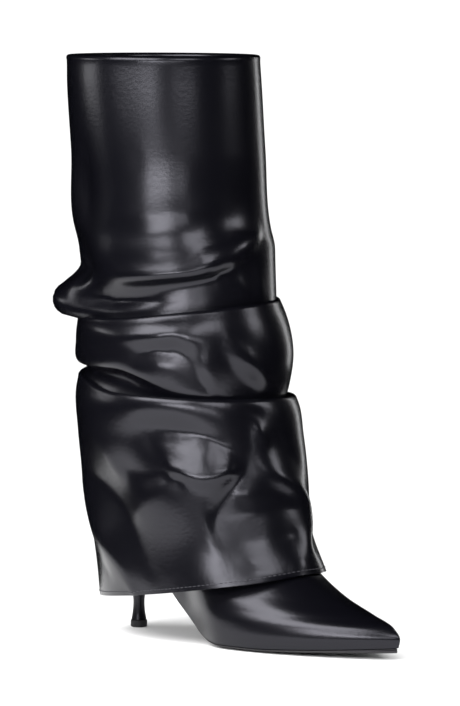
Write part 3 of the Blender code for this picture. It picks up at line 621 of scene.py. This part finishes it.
def dented(rings, names, degrees):
    """The stations' rings with the soft swellings and dents added, away from the shaft's axis."""
    turn = np.radians(degrees)
    away = np.stack([np.cos(turn), np.sin(turn), np.zeros_like(turn)], 1)
    for _, direction, height, angle_spread, height_spread, depth, first, last in COVER_DENTS:
        aside = (degrees - direction + 180.0) % 360.0 - 180.0
        near = np.exp(-((aside / angle_spread) ** 2))
        for k in range(names.index(first), names.index(last) + 1):
            level = (rings[k][:, 2] / COLLAR_HEIGHT - height) / height_spread
            push = depth * COLLAR_WIDTH * near * np.exp(-(level**4))
            rings[k] = rings[k] + away * push[:, None]
    return rings


def ridge_height(reach):
    """Height of the vamp's ridge at a distance from the heel."""
    fronts = [foot_ring(row, np.array([0.0]))[0] for row in FOOT_RINGS]
    fronts.sort(key=lambda point: point[0])
    return float(smooth([p[0] for p in fronts], [p[2] for p in fronts], reach))


# %% The sleeve's middle surface
COVER_COLUMNS = 240
ROW_SPACING = 0.0023
LEAST_STEPS = 3


def cover_stations(degrees):
    """The named rings of the sleeve from the facing inside the collar to the hem."""
    turn = np.radians(degrees)
    half_wall = COVER_WALL / 2
    outside = -(GAP + half_wall)
    inside = UPPER_WALL + GAP + half_wall
    rings = [
        collar_ring(turn, inside, FACING_DEPTH),
        collar_ring(turn, inside, RIM_DEPTH),
        collar_ring(turn, inside, -RIM_SHOULDER * (GAP + half_wall)),
        collar_ring(turn, (inside + outside) / 2, -(GAP + half_wall)),
        collar_ring(turn, outside, -RIM_SHOULDER * (GAP + half_wall)),
        collar_ring(turn, outside, RIM_DEPTH),
    ]
    names = ["facing", "facing_top", "rim_in", "rim", "rim_out", "panel_start"]
    clear = (ridge_height(HEM_FRONT * FOOT_LENGTH) + HEM_CLEARANCE + half_wall) / COLLAR_HEIGHT
    hem = [clear if height is None else height for height in HEM_HEIGHTS]
    for name, front, rear, side, *heights in COVER_STATIONS:
        rings.append(station_ring(front, rear, side, heights, hem, degrees))
        names.append(name)
    rings.append(station_ring(0.0, 0.0, 0.0, hem, hem, degrees))
    names.append("hem")
    return dented(rings, names, degrees), names


cover_degrees = np.arange(COVER_COLUMNS) * 360.0 / COVER_COLUMNS - 180.0
station_rings, station_names = cover_stations(cover_degrees)
station_steps = [
    max(LEAST_STEPS, round(float(np.linalg.norm(b - a, axis=1).mean()) / ROW_SPACING))
    for a, b in zip(station_rings, station_rings[1:])
]
cover_middle = between(station_rings, station_steps)
row_station = np.concatenate(
    [k + np.arange(count) / count for k, count in enumerate(station_steps)] + [[len(station_steps)]]
)
print("sleeve rows", len(cover_middle), "columns", COVER_COLUMNS)

# %% [markdown]
# ## The creases
# Leather that slouches turns along ridges and troughs and is stretched flat between them. Each row of
# the table is one such line, laid in the boot's own sizes: degrees round the shaft, the toe at 0 and the
# outer side negative, millimetres above the floor, and how far the leather stands out there, or in where
# negative. A membrane is stretched between the lines of a zone, which gives the flat facets, and is then
# softened, which rounds the ridges. Two soft bumps are laid over it: the round of the upper panel, and
# the hollow of its dark flank.

# %% Table of fold lines
FOLD_ZONES = (
    # zone, first and last station, softening steps
    ("panel", "panel_top", "hollow_low", 3),
    ("band", "band_top", "lip", 2),
    ("skirt", "skirt_top", "hem", 3),
)
FOLD_LINES = (
    # zone, name, points of (degrees, height in mm, stand-off in mm)
    ("panel", "roll", (
        (-98, 221, 0.0), (-80, 222, 3.6), (-62, 223, 6.6), (-45, 225, 7.2), (-26, 230, 6.0),
        (-10, 236, 4.0), (2, 242, 2.2), (12, 249, 0.8), (18, 254, 0.0))),
    ("panel", "face of the roll", (
        (-82, 231, 0.7), (-62, 233, 1.4), (-45, 235, 1.8), (-26, 240, 1.7), (-12, 245, 1.2))),
    ("panel", "under the roll", (
        (-100, 215, 0.0), (-76, 216, -0.8), (-56, 217, -1.0), (-36, 220, -0.8), (-14, 227, -0.6),
        (5, 237, -0.4), (18, 247, -0.2))),
    ("panel", "over the roll", (
        (-80, 245, 1.2), (-62, 246, 2.1), (-42, 248, 2.6), (-24, 252, 2.2), (-10, 256, 1.2))),
    ("panel", "foot of the panel", (
        (-76, 259, 2.4), (-62, 259, 3.2), (-42, 261, 3.5), (-22, 265, 2.6), (-8, 268, 1.2),
        (4, 271, 0.2))),
    ("panel", "slanting ridge", (
        (-64, 296, 0.3), (-69, 282, 1.2), (-76, 270, 1.8), (-84, 258, 1.4), (-92, 246, 0.5))),
    ("panel", "dark side", ((-104, 300, -1.4), (-104, 276, -2.2), (-112, 254, -1.6))),
    ("panel", "front pleat", ((-24, 222, 0.4), (-10, 218, 1.6), (0, 208, 0.6))),
    ("panel", "hollow over the crest", (
        (-126, 207, -1.4), (-106, 207, -4.4), (-90, 207, -4.8), (-74, 208, -3.4), (-60, 210, -1.6),
        (-46, 213, -0.4))),
    ("panel", "pinch", ((-136, 237, -0.4), (-128, 231, -2.6), (-120, 225, -2.6), (-113, 220, -1.0))),
    ("panel", "under the pinch", ((-134, 227, 1.0), (-125, 221, 1.6))),
    ("panel", "ear ridge", ((-158, 212, 0.8), (-146, 209, 3.2), (-134, 205, 2.6), (-126, 202, 0.8))),
    ("panel", "ear crease", ((-150, 217, -1.8), (-138, 215, -3.4), (-126, 212, -2.2))),
    ("panel", "ear top", ((-150, 222, 1.6), (-140, 221, 1.8))),
    ("panel", "edge pleat", ((6, 226, 0.4), (6, 216, 1.2), (12, 207, 0.4))),
    ("panel", "between the pleats", ((-4, 224, -0.4), (2, 214, -0.6))),
    ("band", "shoulder", (
        (-112, 190, 0.4), (-86, 186, 1.4), (-68, 186, 2.4), (-55, 188, 3.0), (-45, 187, 2.4),
        (-34, 186, 0.8))),
    ("band", "arch", (
        (-75, 170, -0.8), (-70, 176, -1.6), (-61, 180, -2.0), (-52, 180, -2.0), (-46, 176, -2.0),
        (-42, 168, -1.8), (-38, 160, -1.4), (-34, 153, -0.5))),
    ("band", "under the arch", ((-64, 170, -0.2), (-54, 168, 0.0))),
    ("band", "right leg", ((-38, 174, 0.9), (-35, 165, 1.2), (-30, 156, 0.8))),
    ("band", "streak", (
        (-27, 187, 0.4), (-20, 180, 1.8), (-12, 172, 2.8), (-4, 165, 2.8), (4, 159, 1.2))),
    ("band", "over the streak", ((-20, 188, 0.0), (-11, 181, 0.4), (-3, 175, 0.6), (5, 169, 0.4))),
    ("band", "by the streak", ((-29, 178, -0.4), (-21, 169, -0.8), (-13, 161, -0.8), (-6, 155, -0.4))),
    ("skirt", "over the wedge", (
        (-84, 134, -0.6), (-72, 132, -3.0), (-57, 131, -3.6), (-42, 128, -3.6), (-35, 123, -3.2),
        (-27, 118, -3.0), (-21, 115, -3.0))),
    ("skirt", "left of the wedge", (
        (-74, 133, -3.0), (-73, 122, -2.0), (-69, 112, -0.8), (-64, 104, 0.4))),
    ("skirt", "edge of the wedge", (
        (-65, 108, 2.4), (-57, 105, 4.8), (-49, 103, 6.0), (-42, 103, 6.2), (-36, 105, 5.2),
        (-32, 107, 3.6))),
    ("skirt", "upper face of the wedge", (
        (-70, 127, -2.0), (-57, 125, -1.5), (-44, 122, -1.4), (-32, 117, -1.4))),
    ("skirt", "face of the wedge", ((-66, 119, 0.0), (-56, 117, 1.2), (-46, 115, 1.7), (-33, 111, 1.0))),
    ("skirt", "lower face of the wedge", (
        (-64, 112, 1.4), (-55, 110, 3.2), (-46, 109, 4.0), (-36, 108, 3.2))),
    ("skirt", "left of the bow", (
        (-37, 105, 4.8), (-42, 97, 3.6), (-47, 88, 2.6), (-51, 80, 2.2), (-52, 72, 1.6), (-50, 62, 0.6))),
    ("skirt", "bow", (
        (-17, 146, -0.6), (-18, 134, -2.0), (-19, 120, -3.0), (-23, 109, -2.8), (-31, 100, -2.2),
        (-39, 92, -1.4), (-44, 83, -0.8), (-46, 76, -0.6), (-46, 66, -0.5), (-40, 58, -0.4),
        (-33, 53, 0.0))),
    ("skirt", "shelf", (
        (-16, 110, -1.0), (-11, 106, 1.6), (-4, 102, 3.2), (4, 97, 3.8), (11, 92, 3.8), (17, 87, 3.2))),
    ("skirt", "over the shelf", ((-14, 126, -1.0), (-6, 122, -1.6), (4, 118, -1.6), (14, 112, -0.8))),
    ("skirt", "front ridge", (
        (17, 87, 3.2), (20, 80, 2.6), (17, 73, 2.6), (11, 68, 2.2), (6, 62, 1.6), (3, 56, 0.6))),
    ("skirt", "front crease", ((28, 92, -0.8), (28, 80, -1.6), (24, 70, -1.6), (16, 60, -1.0))),
    ("skirt", "across the bow", ((-38, 79, -1.5), (-26, 82, -2.8), (-10, 85, -2.4), (2, 85, -1.0))),
    ("skirt", "upper belly", ((-30, 94, -0.6), (-14, 96, -0.8), (0, 91, -0.6))),
    ("skirt", "lower belly", ((-38, 67, -0.9), (-28, 66, -1.8), (-14, 67, -2.4), (-2, 69, -1.8))),
    ("skirt", "heel ridge", (
        (-152, 100, 0.6), (-138, 89, 2.0), (-130, 79, 3.4), (-121, 69, 4.4), (-113, 61, 4.8),
        (-106, 53, 4.4), (-101, 45, 3.4), (-99, 36, 2.4), (-98, 27, 1.4))),
    ("skirt", "right of the heel ridge", (
        (-128, 102, -1.2), (-112, 95, -2.8), (-99, 85, -3.4), (-92, 72, -2.6), (-87, 58, -1.4),
        (-84, 42, -0.4))),
    ("skirt", "left of the heel ridge", (
        (-146, 74, 0.8), (-134, 61, 0.8), (-122, 50, 0.8), (-114, 40, 0.6))),
    ("skirt", "side fold", ((-58, 103, 0.6), (-68, 96, 1.4), (-78, 88, 1.2), (-86, 80, 0.2))),
    ("skirt", "side valley", ((-88, 106, -1.8), (-78, 102, -2.2), (-68, 105, -1.4))),
    ("skirt", "shoulder", ((-124, 140, 1.0), (-108, 127, 2.0), (-100, 114, 2.0), (-95, 104, 0.8))),
    ("skirt", "glint", ((-9, 51, 0.2), (-3, 52, 0.8), (4, 53, 0.2))),
    ("skirt", "small dent", ((-14, 142, -1.4), (-9, 140, -1.6))),
    ("skirt", "front dent", ((2, 127, -1.6), (6, 121, -1.8))),
    ("skirt", "front bulge", ((-12, 132, 0.8), (-10, 124, 0.6))),
    ("skirt", "quiet hem", (
        (-78, 44, 0.0), (-60, 48, 0.0), (-42, 48, -0.2), (-26, 47, -1.0), (-14, 46, -1.0))),
)
SOFT_BUMPS = (
    # name, degrees, height in mm, stand-off in mm, half width in degrees, half height in mm
    ("upper panel", -60, 300, 2.6, 50, 40),
    ("dark flank", -108, 272, -1.2, 12, 24),
)
print(len(FOLD_LINES), "fold lines and", len(SOFT_BUMPS), "soft bumps")

# %% Stretching the leather between the lines
ROUND_MM = 1.10
LINE_REACH = 1.15
STRETCH_STEPS = 1400
OVER_RELAX = 1.86


def path_distance(path, along_ring, height):
    """Distance from points on the unrolled sleeve to a line, and the line's stand-off there."""
    points = np.array([(a * ROUND_MM, z) for a, z, _ in path], float)
    stands = np.array([stand for _, _, stand in path], float)
    best = np.full(along_ring.shape, np.inf)
    value = np.zeros(along_ring.shape)
    for k in range(len(points) - 1):
        step = points[k + 1] - points[k]
        across, up = along_ring - points[k, 0], height - points[k, 1]
        t = np.clip((across * step[0] + up * step[1]) / (step @ step), 0.0, 1.0)
        distance = np.hypot(across - t * step[0], up - t * step[1])
        nearer = distance < best
        best = np.where(nearer, distance, best)
        value = np.where(nearer, stands[k] + t * (stands[k + 1] - stands[k]), value)
    return best, value


def stretched(fixed, values, row_gap, column_gap):
    """A membrane through the fixed places, closed round the ring, by red and black relaxation."""
    field = values.copy()
    down, beside = 1.0 / row_gap**2, 1.0 / column_gap**2
    checker = np.add.outer(np.arange(field.shape[0]), np.arange(field.shape[1])) % 2
    loose = [~fixed & (checker == colour) for colour in (0, 1)]
    for _ in range(STRETCH_STEPS):
        for free in loose:
            above, below = np.vstack([field[:1], field[:-1]]), np.vstack([field[1:], field[-1:]])
            sides = np.roll(field, 1, axis=1) + np.roll(field, -1, axis=1)
            mean = ((above + below) * down + sides * beside) / (2 * (down + beside))
            field = np.where(free, field + OVER_RELAX * (mean - field), field)
    return field


def softened(field, steps):
    """The field averaged with its neighbours a few times, which rounds its ridges."""
    for _ in range(steps):
        above, below = np.vstack([field[:1], field[:-1]]), np.vstack([field[1:], field[-1:]])
        field = field / 2 + (above + below + np.roll(field, 1, axis=1) + np.roll(field, -1, axis=1)) / 8
    return field


# %% Pressing the creases in


def folded(grid):
    """The sleeve's middle surface with the folds of every zone pressed in. Its rings run downwards."""
    normal = -outward(grid)
    push = np.zeros(grid.shape[:2])
    for zone, first, last, softening in FOLD_ZONES:
        low, high = station_names.index(first), station_names.index(last)
        top, end = np.searchsorted(row_station, (low, high))
        part = grid[top:end + 1]
        height = part[..., 2] / MM
        along_ring = np.broadcast_to(cover_degrees * ROUND_MM, height.shape)
        fixed = np.zeros(height.shape, bool)
        values = np.zeros(height.shape)
        fixed[0] = fixed[-1] = True
        for name, _, path in FOLD_LINES:
            if name != zone:
                continue
            distance, stand = path_distance(path, along_ring, height)
            near = distance < LINE_REACH
            values[near], fixed[near] = stand[near], True
        row_gap = float(np.linalg.norm(np.diff(part, axis=0), axis=2).mean()) / MM
        column_gap = float(np.linalg.norm(np.diff(part, axis=1), axis=2).mean()) / MM
        field = softened(stretched(fixed, values, row_gap, column_gap), softening)
        field[0] = field[-1] = 0.0
        push[top:end + 1] += field
        print(zone, "stand-off", round(field.min(), 1), "to", round(field.max(), 1), "mm")
    for _, degrees, height, stand, half_width, half_height in SOFT_BUMPS:
        across = (cover_degrees - degrees) / half_width
        up = (grid[..., 2] / MM - height) / half_height
        push += stand * np.exp(-across**2 - up**2)
    return grid + normal * push[..., None] * MM


cover_middle = folded(cover_middle)
cover_normal = -outward(cover_middle)
cover_outer = cover_middle + cover_normal * COVER_WALL / 2
cover_inner = cover_middle - cover_normal * COVER_WALL / 2
cover_along = np.roll(cover_middle, -1, axis=1) - np.roll(cover_middle, 1, axis=1)
cover_along /= np.linalg.norm(cover_along, axis=2, keepdims=True)

# %% [markdown]
# ## The seams of the sleeve
# A tube of leather is sewn from flat panels. This one has an outer and an inner panel that meet at the
# front and the back of the inner side, where the photograph doesn't look, so the seams' places are
# chosen. The same seams part the solids. Each panel is drawn back from a seam by half the gap.

# %% Two panels
BACK_SEAM = 126.0
FRONT_SEAM = 63.0


def seam_column(degrees):
    """The column of the sleeve's grid where a seam runs."""
    return round((degrees + 180.0) % 360.0 / 360.0 * COVER_COLUMNS)


def panel(grid, first, last):
    """The columns of a closed grid from one seam to the next, drawn back from both by half the gap."""
    columns = [column % COVER_COLUMNS for column in range(first, last + 1)]
    strip = grid[:, columns].copy()
    strip[:, 0] += cover_along[:, columns[0]] * GAP / 2
    strip[:, -1] -= cover_along[:, columns[-1]] * GAP / 2
    return strip


back_column, front_column = seam_column(BACK_SEAM), seam_column(FRONT_SEAM)
for side, first, end in (("outer", back_column, front_column), ("inner", front_column, back_column)):
    last = first + (end - first) % COVER_COLUMNS
    strips = [panel(grid, first, last) for grid in (cover_outer, cover_inner)]
    wall_piece("sleeve_" + side, *strips, False, "shaft_cover_" + side, "smooth_leather")

# %% [markdown]
# ## The sole, the insole and the heel
# These are hard pieces, so they are made from the same functions as the solids, with more rows and with
# rounded edges. The sole's edge is dyed and ground to a soft corner, which is what catches the thin line
# of light under the upper.

# %% Rings round a thin slab
SOLE_ROWS = 96


def sole_rings(first, last, cross, inset, lower, upper, corner):
    """Rings round a thin slab from end to end: along the top, over the corners and along the bottom."""
    shares = first + (last - first) * (1.0 - np.cos(np.linspace(0.0, math.pi, SOLE_ROWS))) / 2
    rings = []
    for share in shares:
        halves = {side: inset_outline(share, side, inset) for side in (-1, 1)}
        middle = float(centre_line(share))
        top, bottom = [], []
        for place in cross:
            half = halves[-1 if place < 0 else 1]
            y = middle + place * half
            top.append((share * FOOT_LENGTH, y, upper(share)))
            bottom.append((share * FOOT_LENGTH, y, lower(share, place)))
        for row in (top, bottom):
            for end, inward in ((0, 1.0), (-1, -1.0)):
                x, y, z = row[end]
                row[end] = (x, y + inward * min(corner, halves[-1]), z)
        sides = []
        for end in (-1, 0):
            half = halves[1 if end else -1]
            y = middle + (half if end else -half)
            up, down = top[end][2], bottom[end][2]
            drop = min(corner, (up - down) / 3)
            heights = (up - drop, down + drop) if end else (down + drop, up - drop)
            sides.append([(share * FOOT_LENGTH, y, z) for z in heights])
        rings.append(top + sides[0] + bottom[::-1] + sides[1])
    return np.array(rings)


# %% Outsole
TREAD_FLAT = 0.62
TREAD_CURVE = 1.5
SOLE_CORNER = 0.0006
SOLE_CROSS = (-1.0, -0.95, -0.86, -0.74, -0.62, -0.3, 0.0, 0.3, 0.62, 0.74, 0.86, 0.95, 1.0)


def tread(share, place):
    """Underside of the outsole: flat in the middle, lifted towards its edges."""
    edge = max(abs(place) - TREAD_FLAT, 0.0) / (1.0 - TREAD_FLAT)
    return float(sole_height(share)) + OUTSOLE_EDGE_LIFT * edge**TREAD_CURVE


def sole_top(share):
    """Upper face of the outsole, a seat under the upper."""
    return float(sole_height(share)) + OUTSOLE_THICKNESS


sole_toe = 1.0 - TOE_INSET * OUTSOLE_MARGIN / FOOT_LENGTH
outsole_rings = sole_rings(
    HEEL_BREAST / FOOT_LENGTH, sole_toe, SOLE_CROSS, OUTSOLE_MARGIN, tread, sole_top, SOLE_CORNER
)
tube_piece(outsole_rings, "outsole")

# %% Insole
INSOLE_CROSS = (-1.0, -0.8, -0.55, -0.25, 0.0, 0.25, 0.55, 0.8, 1.0)
INSOLE_CORNER = 0.0004
insole_inset = UPPER_WALL + GAP + INSOLE_EASE
insole_first = insole_inset / FOOT_LENGTH


def insole_bottom(share, place):
    """Underside of the insole, a seat above the turned-in edge of the upper."""
    return float(featherline(share)) + UPPER_WALL + GAP


def insole_top(share):
    """Upper face of the insole."""
    return insole_bottom(share, 0.0) + INSOLE_THICKNESS


insole_rings = sole_rings(
    insole_first,
    1.0 - TOE_INSET * insole_first,
    INSOLE_CROSS,
    insole_inset,
    insole_bottom,
    insole_top,
    INSOLE_CORNER,
)
tube_piece(insole_rings, "insole")

# %% Sections of the heel
HEEL_SECTIONS = (
    # height, back, front, half_width
    (0.92, 0.030, 0.960, 0.420),
    (0.82, 0.065, 0.830, 0.345),
    (0.70, 0.125, 0.720, 0.250),
    (0.56, 0.205, 0.640, 0.175),
    (0.42, 0.280, 0.580, 0.115),
)
STEM_SECTIONS = (
    # height, half_width
    (0.26, 0.500),
    (0.07, 0.515),
)
HEEL_SLANT = 0.22
HEEL_SLANT_FADE = 3
BREAST_FULLNESS = 0.8
SEAT_FULLNESS = 0.75
HEEL_COLUMNS = 72
HEEL_STEPS = 8


def heel_section(rear, front, half_width, height_of):
    """One closed section of the heel, round behind and flatter at the breast."""
    angles = turns(HEEL_COLUMNS)
    x = (rear + front) / 2 + (front - rear) / 2 * np.cos(angles)
    flat = np.where(np.cos(angles) > 0, BREAST_FULLNESS, 1.0)
    y = half_width * np.sign(np.sin(angles)) * np.abs(np.sin(angles)) ** flat
    return np.array([(a, b, height_of(a)) for a, b in zip(x, y)])


def seat_section(breast, half_width, height_of):
    """The heel's top edge: the seat's own outline, cut straight at the breast."""
    points = []
    for angle in turns(HEEL_COLUMNS):
        x = breast * (1.0 + math.cos(angle)) / 2 + OUTSOLE_MARGIN * (1.0 - math.cos(angle)) / 2
        side = -1 if math.sin(angle) < 0 else 1
        room = max(float(outline(x / FOOT_LENGTH, side)) - OUTSOLE_MARGIN, 0.0)
        y = side * min(room, half_width * abs(math.sin(angle)) ** SEAT_FULLNESS)
        points.append((x, y if abs(math.sin(angle)) > TINY else 0.0, height_of(x)))
    return np.array(points)


# %% Heel block


def heel_rings():
    """Rings of the heel block from its cupped seat down to the tip."""
    seat = HEEL_HEIGHT + OUTSOLE_THICKNESS
    foot = HEEL_TIP_THICKNESS + GAP
    breast = HEEL_BREAST - GAP

    def seat_height(x):
        return float(featherline(x / FOOT_LENGTH)) - GAP

    sections = [seat_section(breast, HEEL_SEAT_WIDTH / 2 - OUTSOLE_MARGIN, seat_height)]
    for height, rear, front, half_width in HEEL_SECTIONS:
        level = foot + (seat - foot) * height

        def slanted(x, level=level, lean=height):
            return level - HEEL_SLANT * lean**HEEL_SLANT_FADE * (x - HEEL_TIP_SETBACK)

        sections.append(
            heel_section(rear * breast, front * breast, half_width * HEEL_SEAT_WIDTH, slanted)
        )
    stem = [(height, half * HEEL_STEM_DIAMETER) for height, half in STEM_SECTIONS]
    for height, half in stem + [(0.0, HEEL_TIP_DIAMETER / 2 - HEEL_TIP_REVEAL)]:
        level = foot + (seat - foot) * height
        ends = HEEL_TIP_SETBACK - half, HEEL_TIP_SETBACK + half
        sections.append(heel_section(*ends, half, lambda x, level=level: level))
    return between(sections, [HEEL_STEPS] * (len(sections) - 1))


tube_piece(heel_rings(), "heel")

# %% Heel tip
TIP_ROWS = (
    # share of the thickness, how far the edge is drawn in as a share of the bevel
    (1.000, 0.50),
    (0.950, 0.00),
    (0.160, 0.00),
    (0.080, 0.30),
    (0.000, 1.00),
)
tip_sections = [
    heel_section(
        HEEL_TIP_SETBACK - HEEL_TIP_DIAMETER / 2 + drawn * HEEL_TIP_BEVEL,
        HEEL_TIP_SETBACK + HEEL_TIP_DIAMETER / 2 - drawn * HEEL_TIP_BEVEL,
        HEEL_TIP_DIAMETER / 2 - drawn * HEEL_TIP_BEVEL,
        lambda x, level=level: level * HEEL_TIP_THICKNESS,
    )
    for level, drawn in TIP_ROWS
]
tube_piece(np.array(tip_sections), "heel_tip")

# %% [markdown]
# ## Stitches
# A row of small stitches holds the turned-up hem. Geometry Nodes lays them: the hem's line becomes a
# curve, the curve is read every few millimetres, and a short thread is set on each place along the
# curve. Changing the stitch length is then one number.

# %% The hem's line
STITCH_RISE = 0.0026
STITCH_OUT = 0.0001


def hem_line():
    """Places on the sleeve's outer face a little above the hem."""
    line = []
    for column in range(COVER_COLUMNS):
        strip = cover_outer[::-1, column]
        travel = np.linalg.norm(strip - strip[0], axis=1)
        row = int(np.searchsorted(travel, STITCH_RISE))
        t = (STITCH_RISE - travel[row - 1]) / (travel[row] - travel[row - 1])
        place = strip[row - 1] * (1 - t) + strip[row] * t
        line.append(place + cover_normal[-2, column] * STITCH_OUT)
    return np.array(line)


def line_object(name, points):
    """A closed line of edges, moved into the frame."""
    mesh = bpy.data.meshes.new(name)
    edges = [(k, (k + 1) % len(points)) for k in range(len(points))]
    mesh.from_pydata((points - FRAME_ORIGIN).tolist(), edges, [])
    return placed(name, mesh)


# %% The stitch tree
STITCH_SIZES = {"Pitch": 0.0030, "Length": 0.0022, "Radius": 0.00028}
THREAD_SEGMENTS = 8
THREAD_RINGS = 6


def stitch_tree():
    """Threads along a line, with their pitch, length and radius as named inputs."""
    tree = bpy.data.node_groups.new("stitches", "GeometryNodeTree")
    face = tree.interface
    face.new_socket("Geometry", in_out="INPUT", socket_type="NodeSocketGeometry")
    for name, value in STITCH_SIZES.items():
        socket = face.new_socket(name, in_out="INPUT", socket_type="NodeSocketFloat")
        socket.default_value = value
    face.new_socket("Thread", in_out="INPUT", socket_type="NodeSocketMaterial")
    face.new_socket("Geometry", in_out="OUTPUT", socket_type="NodeSocketGeometry")
    add = tree.nodes.new
    source, result = add("NodeGroupInput"), add("NodeGroupOutput")
    curve = add("GeometryNodeMeshToCurve")
    spaced = add("GeometryNodeResampleCurve")
    spaced.mode = "LENGTH"
    tangent = add("GeometryNodeInputTangent")
    turn = add("FunctionNodeAlignRotationToVector")
    turn.axis = "Z"
    thread = add("GeometryNodeMeshUVSphere")
    filled(thread, {"Segments": THREAD_SEGMENTS, "Rings": THREAD_RINGS, "Radius": 1.0})
    half = filled(add("ShaderNodeMath"), {1: 0.5})
    half.operation = "MULTIPLY"
    size = add("ShaderNodeCombineXYZ")
    place = add("GeometryNodeInstanceOnPoints")
    real = add("GeometryNodeRealizeInstances")
    paint = add("GeometryNodeSetMaterial")
    for giver, output, taker, entry in (
        (source, "Geometry", curve, "Mesh"),
        (curve, "Curve", spaced, "Curve"),
        (source, "Pitch", spaced, "Length"),
        (tangent, "Tangent", turn, "Vector"),
        (source, "Length", half, 0),
        (source, "Radius", size, "X"),
        (source, "Radius", size, "Y"),
        (half, "Value", size, "Z"),
        (spaced, "Curve", place, "Points"),
        (thread, "Mesh", place, "Instance"),
        (turn, "Rotation", place, "Rotation"),
        (size, "Vector", place, "Scale"),
        (place, "Instances", real, "Geometry"),
        (real, "Geometry", paint, "Geometry"),
        (source, "Thread", paint, "Material"),
        (paint, "Geometry", result, "Geometry"),
    ):
        tree.links.new(giver.outputs[output], taker.inputs[entry])
    return tree


STITCHES = stitch_tree()
print("stitches every", STITCH_SIZES["Pitch"] / MM, "mm")

# %% Stitches along a line


def stitched(name, points, sizes, thread):
    """A plain mesh of stitches along a line of points."""
    line = line_object(name + "_line", points)
    modifier = line.modifiers.new("stitches", "NODES")
    modifier.node_group = STITCHES
    sockets = [item for item in STITCHES.interface.items_tree if item.in_out == "INPUT"]
    ids = {socket.name: socket.identifier for socket in sockets}
    for key, value in sizes.items():
        modifier[ids[key]] = value
    modifier[ids["Thread"]] = thread
    seen = line.evaluated_get(bpy.context.evaluated_depsgraph_get())
    mesh = bpy.data.meshes.new_from_object(seen)
    mesh.name = name
    bpy.data.objects.remove(line)
    mesh.shade_smooth()
    item = placed(name, mesh)
    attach(item, "root")
    print(name, len(mesh.polygons), "faces")


# %% [markdown]
# ## Finishes
# Smooth box calf is nearly black, with a soft gloss that is broken by a very fine grain. The grain is
# bump: small cells on Object coordinates, faint enough to show only in the highlights. A slower noise
# moves the roughness, because rubbed leather is glossier in places.

# %% Leather
GRAIN_SCALE = 1500.0
GRAIN_DEPTH = 0.00006
GRAIN_ROUGHNESS = 0.6
PORE_SCALE = 420.0
PORE_DEPTH = 0.00008
CLOUD_SCALE = 22.0
NOISE_DETAIL = 3.0
LEATHER_IOR = 1.40
MIRROR_TINT = (0.90, 0.89, 1.0, 1.0)


def noise(tree, place, scale, roughness=0.5):
    """A noise texture on the object's own coordinates."""
    node = tree.nodes.new("ShaderNodeTexNoise")
    filled(node, {"Scale": scale, "Detail": NOISE_DETAIL, "Roughness": roughness})
    tree.links.new(place.outputs["Object"], node.inputs["Vector"])
    return node.outputs["Fac"]


def spread(tree, source, low, high):
    """A value from 0 to 1 spread between two limits."""
    node = filled(tree.nodes.new("ShaderNodeMapRange"), {"To Min": low, "To Max": high})
    tree.links.new(source, node.inputs["Value"])
    return node.outputs["Result"]


def bump(tree, height, distance, strength, after=None):
    """Bump from a height, on top of an earlier bump where there is one."""
    node = filled(tree.nodes.new("ShaderNodeBump"), {"Distance": distance, "Strength": strength})
    tree.links.new(height, node.inputs["Height"])
    if after is not None:
        tree.links.new(after, node.inputs["Normal"])
    return node.outputs["Normal"]


def leather_material(name, colour, rough_low, rough_high, grain):
    """Fine-grained leather: pores, a finer grain and clouds of roughness."""
    material = bpy.data.materials.new(name)
    material.use_nodes = True
    tree = material.node_tree
    shader = filled(tree.nodes["Principled BSDF"], {
        "Base Color": (*colour, 1.0),
        "Roughness": rough_low,
        "IOR": LEATHER_IOR,
        "Specular Tint": MIRROR_TINT,
    })
    place = tree.nodes.new("ShaderNodeTexCoord")
    clouds = noise(tree, place, CLOUD_SCALE)
    pores = filled(tree.nodes.new("ShaderNodeTexVoronoi"), {"Scale": PORE_SCALE})
    tree.links.new(place.outputs["Object"], pores.inputs["Vector"])
    fine = noise(tree, place, GRAIN_SCALE, GRAIN_ROUGHNESS)
    normal = bump(tree, pores.outputs["Distance"], PORE_DEPTH, grain)
    normal = bump(tree, fine, GRAIN_DEPTH, grain, normal)
    tree.links.new(normal, shader.inputs["Normal"])
    tree.links.new(spread(tree, clouds, rough_low, rough_high), shader.inputs["Roughness"])
    return material


# %% The six finishes
LEATHER_COLOUR = (0.0017, 0.0017, 0.0028)
FINISHES = (
    # name, colour, lowest and highest roughness, strength of the grain
    ("smooth_leather", LEATHER_COLOUR, 0.21, 0.29, 0.35),
    ("heel_leather", LEATHER_COLOUR, 0.28, 0.36, 0.20),
    ("sock_leather", (0.030, 0.027, 0.026), 0.55, 0.70, 0.50),
    ("sole_resin", (0.016, 0.015, 0.016), 0.42, 0.55, 0.25),
    ("tip_rubber", (0.012, 0.012, 0.012), 0.55, 0.70, 0.40),
    ("thread", (0.030, 0.029, 0.034), 0.45, 0.55, 0.20),
)
MATERIALS = {row[0]: leather_material(*row) for row in FINISHES}
print("finishes:", list(MATERIALS))

# %% Dressing the pieces
for piece, finish in (
    ("sleeve_outer", "smooth_leather"),
    ("sleeve_inner", "smooth_leather"),
    ("dressed_upper", "smooth_leather"),
    ("dressed_heel", "heel_leather"),
    ("dressed_outsole", "sole_resin"),
    ("dressed_insole", "sock_leather"),
    ("dressed_heel_tip", "tip_rubber"),
):
    PIECES[piece].data.materials.append(MATERIALS[finish])
stitched("hem_stitches", hem_line(), STITCH_SIZES, MATERIALS["thread"])
